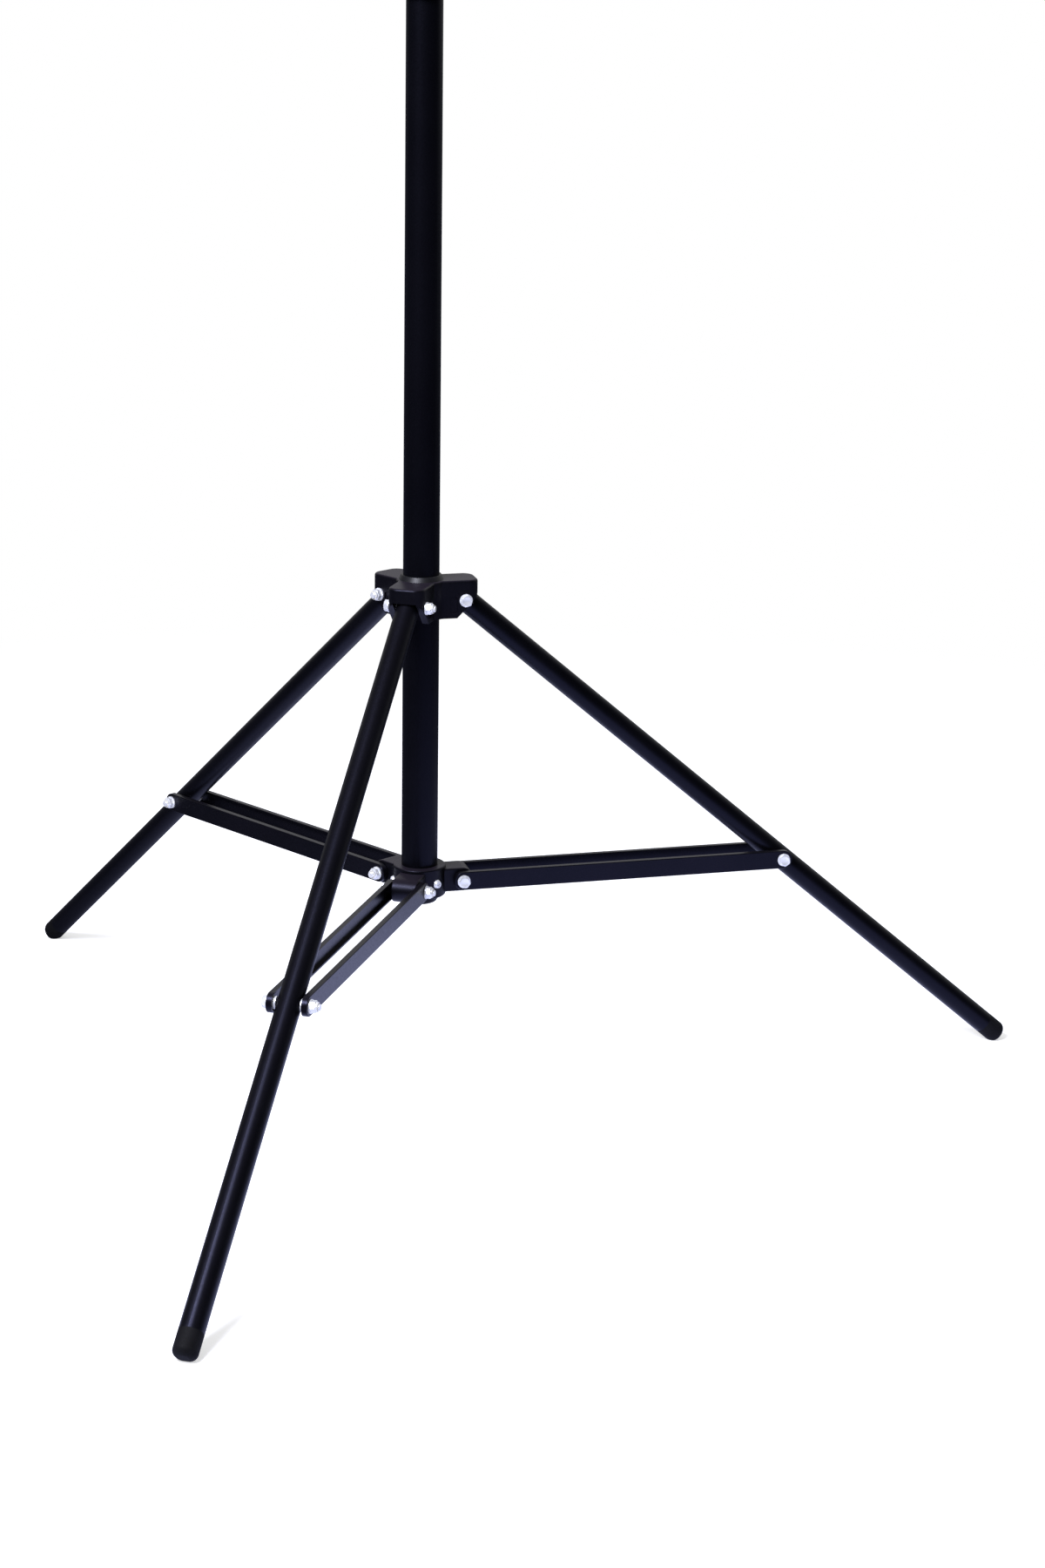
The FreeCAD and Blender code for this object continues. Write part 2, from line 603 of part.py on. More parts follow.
def yoke_liner():
    """A flanged nylon bush in the yoke: its cone is the low neck on the yoke's roof."""
    low = YOKE_PIVOT_Z - YOKE_DROP
    seat = YOKE_PIVOT_Z + YOKE_ROOF
    sleeve = rod(YOKE_BORE - 2 * SEAT, low, seat + BURIED)
    neck = cone(NECK_D, NECK_TOP_D, seat, seat + NECK_HEIGHT)
    neck = rounded(neck, FINE_EDGE, at_height(seat + NECK_HEIGHT))
    liner = union([sleeve, neck]).cut(rod(POLE_OD + 2 * RUNNING, low - 1, seat + NECK_HEIGHT + 1))
    shoe_hole = rod(SHOE_HOLE_D, 0, YOKE_BORE, X_AXIS, (0, 0, YOKE_CLAMP_Z))
    return liner.cut(turned(shoe_hole, CLAMP_AZIMUTH))


# ---- Clamp sets, at the clamp azimuth ----
def clamp_insert(bore_radius, height):
    """The threaded insert in a clamp's boss."""
    low = bore_radius + CLAMP_CAVITY
    high = bore_radius + CLAMP_BOSS_REACH
    insert = pipe(INSERT_D, STUD_D + 2 * RUNNING, low, high, X_AXIS, (0, 0, height))
    return turned(insert, CLAMP_AZIMUTH)


def clamp_shoe(tube_radius, height):
    """The nylon shoe between a stud and the tube it holds, hollowed to the tube."""
    start = tube_radius + SHOE_CONTACT
    centre = (0, 0, height)
    end = start + SHOE_LENGTH
    hollow_depth = start - math.sqrt(start ** 2 - (SHOE_D / 2) ** 2)
    shoe = rod(SHOE_D, start - hollow_depth, end, X_AXIS, centre)
    shoe = rounded(shoe, FINE_EDGE, lambda edge: edge.BoundBox.XMin > end - 1e-3)
    shoe = shoe.cut(rod(2 * start, height - SHOE_D, height + SHOE_D))
    socket = rod(STUD_D + 2 * RUNNING, end - STUD_SOCKET - GAP, end + 1, X_AXIS, centre)
    return turned(shoe.cut(socket), CLAMP_AZIMUTH)


def clamp_stud(tube_radius, bore_radius, height):
    """The threaded stud, from the shoe's socket into the knob."""
    low = tube_radius + SHOE_CONTACT + SHOE_LENGTH - STUD_SOCKET
    high = bore_radius + CLAMP_BOSS_REACH + KNOB_STANDOFF + STUD_IN_KNOB
    centre = (0, 0, height)
    stud = union([
        cone(STUD_D - 2 * THREAD_TIP, STUD_D, low, low + THREAD_TIP, X_AXIS, centre),
        rod(STUD_D, low + THREAD_TIP, high, X_AXIS, centre),
    ])
    return turned(stud, CLAMP_AZIMUTH)


def clamp_knob(diameter, length, bore_radius, height):
    """A moulded knob with round lobes and a short neck towards the boss."""
    low = bore_radius + CLAMP_BOSS_REACH + KNOB_STANDOFF
    grip = low + KNOB_NECK_LENGTH
    high = low + length
    centre = (0, 0, height)
    head = rod(diameter, grip, high, X_AXIS, centre)
    flute_radius = diameter * KNOB_FLUTE
    flute_centre = diameter / 2 + flute_radius * KNOB_FLUTE_OUT
    for step in range(KNOB_LOBES):
        angle = math.radians(90 + (step + 0.5) * 360 / KNOB_LOBES)
        flute_at = (0, flute_centre * math.cos(angle), height + flute_centre * math.sin(angle))
        head = head.cut(rod(2 * flute_radius, grip - 1, high + 1, X_AXIS, flute_at))
    head = rounded(
        head,
        diameter * KNOB_EDGE,
        lambda edge: edge.BoundBox.XLength < 1e-4 or edge.BoundBox.XLength > high - grip - 1e-3,
    )
    neck = rod(KNOB_NECK_D, low, grip + 1, X_AXIS, centre)
    dish_d = diameter * KNOB_DISH
    dish = cone(dish_d, dish_d + 2 * KNOB_DISH_DEPTH, high - KNOB_DISH_DEPTH, high, X_AXIS, centre)
    bore = rod(STUD_D + 2 * SEAT, low - 1, low + STUD_IN_KNOB + SEAT, X_AXIS, centre)
    return turned(union([head, neck]).cut(dish).cut(bore), CLAMP_AZIMUTH)


# ---- Lock collar at the pole's top ----
def lock_collar():
    """The moulded collar over the pole's end, with a waist, a lip and the clamp's boss."""
    waist_low = COLLAR_Z + COLLAR_SCREW_HEIGHT + SCREW_HEAD_D
    waist_high = COLLAR_TOP - 2 * COLLAR_EDGE
    body = rod(COLLAR_D, COLLAR_Z, COLLAR_TOP)
    body = rounded(body, COLLAR_EDGE, lambda edge: edge.BoundBox.ZMin > COLLAR_TOP - 1e-3)
    body = rounded(body, ROUND_EDGE, at_height(COLLAR_Z))
    body = body.cut(pipe(COLLAR_D + 2, COLLAR_WAIST_D, waist_low, waist_high))
    boss = turned(clamp_boss(POLE_OD / 2, COLLAR_CLAMP_Z), CLAMP_AZIMUTH)
    body = union([body, boss])
    body = body.cut(rod(POLE_OD + 2 * SEAT, COLLAR_Z - 1, POLE_TOP))
    body = body.cut(rod(MAST_OD + 2 * GAP, POLE_TOP - 1, COLLAR_TOP + 1))
    body = body.cut(turned(clamp_bores(POLE_OD / 2, COLLAR_CLAMP_Z), CLAMP_AZIMUTH))
    hole = rod(
        SCREW_D + 2 * SEAT, 0, COLLAR_D, X_AXIS, (0, 0, COLLAR_Z + COLLAR_SCREW_HEIGHT)
    )
    for azimuth in FIXING_AZIMUTHS:
        body = body.cut(turned(hole, azimuth))
    return body


def collar_screws():
    """The screws that hold the lock collar to the pole."""
    height = COLLAR_Z + COLLAR_SCREW_HEIGHT
    screw = radial_screw(COLLAR_D / 2, POLE_ID / 2, height)
    return Part.makeCompound([turned(screw, azimuth) for azimuth in FIXING_AZIMUTHS])


def guide_bush():
    """The nylon bush inside the pole's top that the mast slides in."""
    low = POLE_TOP - BUSH_LENGTH
    bush = pipe(POLE_ID - 2 * SEAT, MAST_BORE, low, POLE_TOP)
    shoe_hole = rod(SHOE_HOLE_D, 0, POLE_OD, X_AXIS, (0, 0, COLLAR_CLAMP_Z))
    screw_tips = rod(SCREW_D + 2 * SEAT, 0, POLE_OD, X_AXIS, (0, 0, COLLAR_Z + COLLAR_SCREW_HEIGHT))
    for azimuth in FIXING_AZIMUTHS:
        bush = bush.cut(turned(screw_tips, azimuth))
    return bush.cut(turned(shoe_hole, CLAMP_AZIMUTH))


# ---- Mast, spigot and pin ----
def mast_tube():
    """The telescopic tube, with a row of cross holes for the safety pin."""
    top = SPIGOT_TOP
    tube = pipe(MAST_OD, MAST_ID, MAST_FOOT + GLIDE_STEP, top)
    for step in range(PIN_HOLES):
        centre = (0, 0, PIN_Z - step * PIN_HOLE_PITCH)
        tube = tube.cut(rod(PIN_HOLE_D, -MAST_OD, MAST_OD, X_AXIS, centre))
    return tube


def mast_glide():
    """The nylon glide on the mast's foot: it slides in the pole and the mast turns in it."""
    low = MAST_FOOT
    high = MAST_FOOT + GLIDE_LENGTH
    floor = rod(POLE_ID - 2 * RUNNING, low, low + GLIDE_STEP - GAP)
    wall = pipe(POLE_ID - 2 * RUNNING, MAST_BORE, low, high)
    glide = union([floor, wall])
    return glide.cut(rod(MAST_ID * CORED, low - 1, low + GLIDE_STEP))


def spigot_sleeve():
    """The adaptor sleeve that a speaker's socket drops over, with its flange."""
    flange_top = SPIGOT_Z + SPIGOT_FLANGE_T
    flange = rod(SPIGOT_FLANGE_D, SPIGOT_Z, flange_top)
    flange = rounded(flange, ROUND_EDGE, outside(SPIGOT_FLANGE_D / 2 - 0.1))
    sleeve = rod(SPIGOT_D, flange_top - BURIED, SPIGOT_TOP)
    bore = rod(MAST_OD + 2 * SEAT, SPIGOT_Z - 1, SPIGOT_TOP + 1)
    return union([flange, sleeve]).cut(bore)


def spigot_cap():
    """The moulded cap in the mast's top, with a lead-in chamfer for the socket."""
    cap = cone(SPIGOT_D, SPIGOT_D - 2 * SPIGOT_CAP_T, SPIGOT_TOP, SPIGOT_TOP + SPIGOT_CAP_T)
    cap = rounded(cap, FINE_EDGE, at_height(SPIGOT_TOP + SPIGOT_CAP_T))
    stem = rod(MAST_ID - 2 * SEAT, SPIGOT_TOP - SPIGOT_CAP_STEM, SPIGOT_TOP + BURIED)
    hollow_top = SPIGOT_TOP - SPIGOT_CAP_T
    hollow = rod(MAST_ID * CORED, SPIGOT_TOP - SPIGOT_CAP_STEM - 1, hollow_top)
    return union([cap, stem]).cut(hollow)


def safety_pin():
    """The cross pin through the mast, with a flat eye for its ring."""
    centre = (0, 0, PIN_Z)
    tail = -MAST_OD / 2 - PIN_TAIL
    shank = rod(PIN_D, tail + 1, PIN_EYE_RADIUS - PIN_EYE_D / 4, X_AXIS, centre)
    tip = cone(PIN_D - 2, PIN_D, tail, tail + 1, X_AXIS, centre)
    eye_centre = (PIN_EYE_RADIUS, 0, PIN_Z)
    eye = rod(PIN_EYE_D, -PIN_EYE_T / 2, PIN_EYE_T / 2, Y_AXIS, eye_centre)
    hole = rod(PIN_EYE_HOLE_D, -PIN_EYE_T, PIN_EYE_T, Y_AXIS, eye_centre)
    return union([shank, tip, eye]).cut(hole)


def pin_ring():
    """The wire ring that hangs from the pin's eye."""
    centre = FreeCAD.Vector(PIN_EYE_RADIUS, 0, RING_Z)
    return Part.makeTorus(RING_RADIUS, RING_WIRE_D / 2, centre, X_AXIS)


# ---- Legs ----
def leg_tube():
    """A leg, drilled across for its pivot and for the brace's bolt."""
    low = -(LEG_LENGTH - FOOT_HEAD)
    tube = pipe(LEG_OD, LEG_ID, low, LEG_ABOVE_PIVOT - PLUG_HEAD)
    pivot = rod(BOLT_D + 2 * RUNNING, -LEG_OD, LEG_OD, Y_AXIS)
    brace = rod(BOLT_D + 2 * RUNNING, -LEG_OD, LEG_OD, Y_AXIS, (0, 0, -LEG_TO_BRACE))
    return along_leg(tube.cut(pivot).cut(brace))


def leg_plug():
    """The moulded plug in a leg's top, which the pivot bolt passes through."""
    head_low = LEG_ABOVE_PIVOT - PLUG_HEAD
    head = rod(LEG_OD, head_low, LEG_ABOVE_PIVOT)
    head = rounded(head, FINE_EDGE, at_height(LEG_ABOVE_PIVOT))
    stem = rod(LEG_ID - 2 * SEAT, head_low - PLUG_DEPTH, head_low + BURIED)
    pivot = rod(BOLT_D + 2 * RUNNING, -LEG_OD, LEG_OD, Y_AXIS)
    return along_leg(union([head, stem]).cut(pivot))


def leg_foot():
    """The rubber foot: a stem in the leg, a head flush with it, and a flat sole."""
    seam = -(LEG_LENGTH - FOOT_HEAD)
    head = rod(LEG_OD, -LEG_LENGTH, seam)
    head = rounded(head, FOOT_CORNER, at_height(-LEG_LENGTH))
    stem = rod(LEG_ID - 2 * SEAT, seam - BURIED, seam + FOOT_STEM)
    foot = along_leg(union([head, stem]))
    reach = PIVOT_RADIUS + LEG_LENGTH
    under_floor = block((0, reach), (-LEG_OD, LEG_OD), (-LEG_OD, 0))
    return foot.cut(under_floor)


# ---- Braces ----
def brace_bar(side):
    """One bar of a brace: a shallow tray with round ends, open towards the leg's plane."""
    radius = BAR_HEIGHT / 2
    outer = obround(BRACE_LENGTH, radius, BAR_MOUTH, BAR_FACE)
    outer = rounded(
        outer,
        BAR_EDGE,
        lambda edge: edge.BoundBox.YMin > BAR_FACE - 1e-3,
    )
    inner = obround(BRACE_LENGTH, radius - BAR_WALL, BAR_MOUTH - 1, BAR_INSIDE)
    bar = outer.cut(inner)
    for centre in ((0, 0, 0), (BRACE_LENGTH, 0, 0)):
        bar = bar.cut(rod(BOLT_D + 2 * BOLT_HOLE, 0, BAR_FACE + 1, Y_AXIS, centre))
    if side < 0:
        bar = bar.mirror(FreeCAD.Vector(0, 0, 0), Y_AXIS)
    bar.translate(FreeCAD.Vector(PIVOT_RADIUS, 0, HUB_PIVOT_Z))
    return bar


def brace_bolt_halves():
    """The head end and the nut end of a brace's bolt, each ending in its spacer."""
    centre = (PIVOT_RADIUS + BRACE_LENGTH, 0, HUB_PIVOT_Z)
    bolt = cross_bolt(centre, BAR_FACE)
    middle = rod(BOLT_D + 2, -LEG_OD / 2 - GAP, LEG_OD / 2 + GAP, Y_AXIS, centre)
    return bolt.cut(middle)


def brace_spacers():
    """The spacers between the bars and the leg."""
    centre = (PIVOT_RADIUS + BRACE_LENGTH, 0, HUB_PIVOT_Z)
    low = LEG_OD / 2 + GAP
    inner = BOLT_D + 2 * SEAT
    return Part.makeCompound([
        pipe(SPACER_D, inner, low, BAR_INSIDE, Y_AXIS, centre),
        pipe(SPACER_D, inner, -BAR_INSIDE, -low, Y_AXIS, centre),
    ])


def write_parts():
    """Writes every node of the stand."""
    yoke_pivot = (PIVOT_RADIUS, 0, YOKE_PIVOT_Z)
    hub_pivot = (PIVOT_RADIUS, 0, HUB_PIVOT_Z)
    brace_end = (PIVOT_RADIUS + BRACE_LENGTH, 0, HUB_PIVOT_Z)
    hub_grip = BAR_FACE + GAP

    save("pole_tube", pole_tube())
    save("pole_end_plug", pole_end_plug())
    save("brace_hub", brace_hub())
    save("hub_screws", hub_screws())
    save("hub_bolts", at_every_leg(cross_bolt(hub_pivot, hub_grip)))
    save("hub_nuts", at_every_leg(cross_nut(hub_pivot, hub_grip)))
    save("hub_washers", at_every_leg(Part.makeCompound(cross_washers(hub_pivot, hub_grip))))
    save("lock_collar", lock_collar())
    save("collar_screws", collar_screws())
    save("guide_bush", guide_bush())

    save("leg_yoke", leg_yoke())
    save("yoke_liner", yoke_liner())
    save("leg_bolts", at_every_leg(cross_bolt(yoke_pivot, LOBE_HALF)))
    save("leg_nuts", at_every_leg(cross_nut(yoke_pivot, LOBE_HALF)))
    save("leg_washers", at_every_leg(Part.makeCompound(cross_washers(yoke_pivot, LOBE_HALF))))

    yoke_clamp = (POLE_OD / 2, YOKE_BORE / 2, YOKE_CLAMP_Z)
    mast_clamp = (MAST_OD / 2, POLE_OD / 2, COLLAR_CLAMP_Z)
    knobs = {
        "yoke": (YOKE_KNOB_D, YOKE_KNOB_LENGTH, yoke_clamp),
        "collar": (COLLAR_KNOB_D, COLLAR_KNOB_LENGTH, mast_clamp),
    }
    for name, (knob_d, knob_length, (tube_radius, bore_radius, height)) in knobs.items():
        save(name + "_insert", clamp_insert(bore_radius, height))
        save(name + "_shoe", clamp_shoe(tube_radius, height))
        save(name + "_stud", clamp_stud(tube_radius, bore_radius, height))
        save(name + "_knob", clamp_knob(knob_d, knob_length, bore_radius, height))

    save("mast_tube", mast_tube())
    save("mast_glide", mast_glide())
    save("spigot_sleeve", spigot_sleeve())
    save("spigot_cap", spigot_cap())
    save("safety_pin", safety_pin())
    save("pin_ring", pin_ring())

    tube = leg_tube()
    plug = leg_plug()
    foot = leg_foot()
    right_bar = brace_bar(-1)
    left_bar = brace_bar(1)
    bolt = brace_bolt_halves()
    nut = cross_nut(brace_end, BAR_FACE)
    washers = Part.makeCompound(cross_washers(brace_end, BAR_FACE))
    spacers = brace_spacers()
    for leg, azimuth in LEG_AZIMUTHS.items():
        save("leg_tube_" + leg, turned(tube, azimuth))
        save("leg_plug_" + leg, turned(plug, azimuth))
        save("leg_foot_" + leg, turned(foot, azimuth))
        save("brace_bar_" + leg + "_a", turned(right_bar, azimuth))
        save("brace_bar_" + leg + "_b", turned(left_bar, azimuth))
        save("brace_bolt_" + leg, turned(bolt, azimuth))
        save("brace_nut_" + leg, turned(nut, azimuth))
        save("brace_washers_" + leg, turned(washers, azimuth))
        save("brace_spacers_" + leg, turned(spacers, azimuth))


if __name__ == "__main__":
    os.makedirs("parts", exist_ok=True)
    write_parts()
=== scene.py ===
import json
import logging
import math
from dataclasses import dataclass
from enum import Enum
from typing import Any, Callable, Dict, List, Optional, Sequence, Tuple

import bmesh
import bpy
from mathutils import Matrix, Vector


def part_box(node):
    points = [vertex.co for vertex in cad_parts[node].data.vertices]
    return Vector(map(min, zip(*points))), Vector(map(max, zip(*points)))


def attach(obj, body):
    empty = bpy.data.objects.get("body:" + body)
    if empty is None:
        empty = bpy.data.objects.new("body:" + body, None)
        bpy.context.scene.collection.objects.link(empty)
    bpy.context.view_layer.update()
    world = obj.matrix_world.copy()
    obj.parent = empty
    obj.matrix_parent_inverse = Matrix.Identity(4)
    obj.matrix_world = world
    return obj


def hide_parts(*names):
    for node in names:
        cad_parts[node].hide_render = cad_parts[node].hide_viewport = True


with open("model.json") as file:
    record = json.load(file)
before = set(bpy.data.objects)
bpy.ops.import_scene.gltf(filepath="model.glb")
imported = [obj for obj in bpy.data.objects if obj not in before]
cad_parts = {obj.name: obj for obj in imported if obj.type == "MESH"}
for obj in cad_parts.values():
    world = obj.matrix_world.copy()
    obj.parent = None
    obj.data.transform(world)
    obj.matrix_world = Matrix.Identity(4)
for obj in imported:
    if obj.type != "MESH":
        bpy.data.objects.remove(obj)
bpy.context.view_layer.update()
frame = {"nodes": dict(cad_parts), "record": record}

# Looks of a speaker tripod stand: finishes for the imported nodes, threaded fasteners, nylon lock
# rings, knob caps and the pin's split ring, in a plain studio. All lengths are in metres unless a
# name ends in _mm.

log = logging.getLogger("speaker_stand")
MM = 0.001
MERGE = 1e-6  # vertices nearer than this are one
ON_PLANE = 1e-7  # vertices nearer than this to a cutting plane lie on it
BOLT_TURN_STEP = 17.0  # each hand-tightened bolt stands a little differently, in degrees
Socket = bpy.types.NodeSocket
Tree = bpy.types.ShaderNodeTree


class Leg(Enum):
    """The three legs, by the azimuth in degrees that each points along."""

    FRONT = -90.0
    RIGHT = 30.0
    LEFT = 150.0

    @property
    def label(self) -> str:
        """The leg's name in node and body names."""
        return self.name.lower()

    @property
    def outward(self) -> Vector:
        """Unit vector from the pole along the leg's plane."""
        angle = math.radians(self.value)
        return Vector((math.cos(angle), math.sin(angle), 0.0))

    @property
    def across(self) -> Vector:
        """Unit vector across the leg's plane, towards the nut end of its bolts."""
        return Vector((0.0, 0.0, 1.0)).cross(self.outward)


# ---------------------------------------------------------------- modelling
def clear_selection() -> None:
    """Leaves edit mode and deselects every object."""
    if bpy.context.mode != "OBJECT":
        bpy.ops.object.mode_set(mode="OBJECT")
    bpy.ops.object.select_all(action="DESELECT")


def select_only(piece: bpy.types.Object) -> None:
    """Selects one object and makes it active.

    Args:
        piece: the object.
    """
    clear_selection()
    piece.select_set(True)
    bpy.context.view_layer.objects.active = piece


def apply_place() -> None:
    """Moves the selected object's place, turn and scale into its mesh."""
    bpy.ops.object.transform_apply(location=True, rotation=True, scale=True)


def start_piece(name: str) -> bpy.types.Object:
    """Names the primitive that was just added.

    Args:
        name: the piece's name.

    Returns:
        The new object.
    """
    piece = bpy.context.object
    piece.name = name
    piece.data.name = name
    return piece


def edit(piece: bpy.types.Object) -> None:
    """Opens a piece in edit mode with nothing selected.

    Args:
        piece: the object.
    """
    select_only(piece)
    bpy.ops.object.mode_set(mode="EDIT")
    bpy.ops.mesh.select_mode(type="VERT")
    bpy.ops.mesh.select_all(action="DESELECT")


def pick(piece: bpy.types.Object, kind: str, wanted: Callable[[Any], bool]) -> None:
    """Selects vertices, edges or faces of the piece in edit mode by their place or normal.

    Args:
        piece: the object in edit mode.
        kind: "VERT", "EDGE" or "FACE".
        wanted: says whether an element is selected.
    """
    bpy.ops.mesh.select_mode(type=kind)
    bpy.ops.mesh.select_all(action="DESELECT")
    mesh = bmesh.from_edit_mesh(piece.data)
    groups = {"VERT": mesh.verts, "EDGE": mesh.edges, "FACE": mesh.faces}
    for element in groups[kind]:
        element.select = wanted(element)
    mesh.select_flush_mode()
    bmesh.update_edit_mesh(piece.data)


def apply_modifier(piece: bpy.types.Object, kind: str, **settings: Any) -> None:
    """Adds a modifier and applies it.

    Args:
        piece: the object.
        kind: the modifier's type.
        **settings: its properties.
    """
    select_only(piece)
    modifier = piece.modifiers.new(kind.title(), kind)
    for key, value in settings.items():
        setattr(modifier, key, value)
    bpy.ops.object.modifier_apply(modifier=modifier.name)


def close_surface(piece: bpy.types.Object, merge: float = MERGE) -> None:
    """Merges doubled vertices and turns every face outwards.

    Args:
        piece: the object.
        merge: distance within which vertices become one.
    """
    edit(piece)
    bpy.ops.mesh.select_all(action="SELECT")
    bpy.ops.mesh.remove_doubles(threshold=merge)
    bpy.ops.mesh.normals_make_consistent(inside=False)
    bpy.ops.object.mode_set(mode="OBJECT")


def cut_off(piece: bpy.types.Object, height: float, above: bool) -> None:
    """Cuts a piece with a level plane and closes the cut.

    Args:
        piece: the object.
        height: the plane's height along the piece's Z.
        above: whether the part above the plane is removed, or the part below it.
    """
    edit(piece)
    bpy.ops.mesh.select_all(action="SELECT")
    bpy.ops.mesh.bisect(
        plane_co=(0.0, 0.0, height),
        plane_no=(0.0, 0.0, 1.0),
        use_fill=True,
        clear_outer=above,
        clear_inner=not above,
        threshold=ON_PLANE,
    )
    bpy.ops.object.mode_set(mode="OBJECT")


def join_pieces(pieces: Sequence[bpy.types.Object]) -> bpy.types.Object:
    """Joins pieces into the first one.

    Args:
        pieces: the objects to join.

    Returns:
        The first object, which now holds them all.
    """
    clear_selection()
    for piece in pieces:
        piece.select_set(True)
    bpy.context.view_layer.objects.active = pieces[0]
    bpy.ops.object.join()
    return pieces[0]


def repeat(piece: bpy.types.Object, names: Sequence[str]) -> List[bpy.types.Object]:
    """Copies a piece once for each name after the first, each copy with its own mesh.

    Args:
        piece: the piece, which takes the first name.
        names: the names of all the pieces.

    Returns:
        The piece and its copies, in the names' order.
    """
    pieces = [piece]
    while len(pieces) < len(names):
        select_only(piece)
        bpy.ops.object.duplicate(linked=False)
        pieces.append(bpy.context.object)
    for copy, name in zip(pieces, names):
        copy.name = name
        copy.data.name = name
    return pieces


def settle(piece: bpy.types.Object, place: Matrix, smooth_angle: float) -> None:
    """Puts a piece in its place, moves that place into its mesh and shades it.

    Args:
        piece: the object, modelled round the origin.
        place: where it belongs in the stand.
        smooth_angle: edges flatter than this are shaded smooth, in degrees.
    """
    select_only(piece)
    piece.matrix_world = place
    apply_place()
    bpy.ops.object.shade_smooth_by_angle(angle=math.radians(smooth_angle))


def station_place(leg: Leg, radius: float, height: float) -> Matrix:
    """The place of a fastener across a leg's plane: its Z runs across, its X outwards.

    Args:
        leg: the leg.
        radius: distance of the fastener's axis from the pole's axis.
        height: height of the fastener's axis.

    Returns:
        The place.
    """
    across = leg.across
    outward = leg.outward
    place = Matrix((outward, across.cross(outward), across)).transposed().to_4x4()
    place.translation = outward * radius + Vector((0.0, 0.0, height))
    return place


def depth_axis_place(x: float, y: float, z: float) -> Matrix:
    """The place of a clamp's piece: its Z runs along the stand's Y."""
    return Matrix.Translation((x, y, z)) @ Matrix.Rotation(-math.pi / 2, 4, "X")


def middle(node: str) -> Vector:
    """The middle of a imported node's box."""
    low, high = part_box(node)
    return (low + high) / 2


# ---------------------------------------------------------------- finishes
def linear(code: str) -> Tuple[float, float, float, float]:
    """Turns an sRGB hex colour into linear values.

    Args:
        code: a colour such as "#1a2b3c".

    Returns:
        Linear red, green and blue, and 1 for alpha.
    """
    levels = [int(code[start:start + 2], 16) / 255 for start in (1, 3, 5)]
    values = [v / 12.92 if v <= 0.04045 else ((v + 0.055) / 1.055) ** 2.4 for v in levels]
    return values[0], values[1], values[2], 1.0


def add_node(
    tree: Tree, kind: str, inputs: Optional[Dict[Any, Any]] = None, **properties: Any
) -> bpy.types.Node:
    """Adds a node, sets it and links it.

    Args:
        tree: the node tree.
        kind: the node's type.
        inputs: a socket to link or a value to set, by the name or number of its input.
        **properties: the node's own properties.

    Returns:
        The node.
    """
    node = tree.nodes.new(kind)
    for key, value in properties.items():
        setattr(node, key, value)
    for key, value in (inputs or {}).items():
        if isinstance(value, Socket):
            tree.links.new(value, node.inputs[key])
        else:
            node.inputs[key].default_value = value
    return node


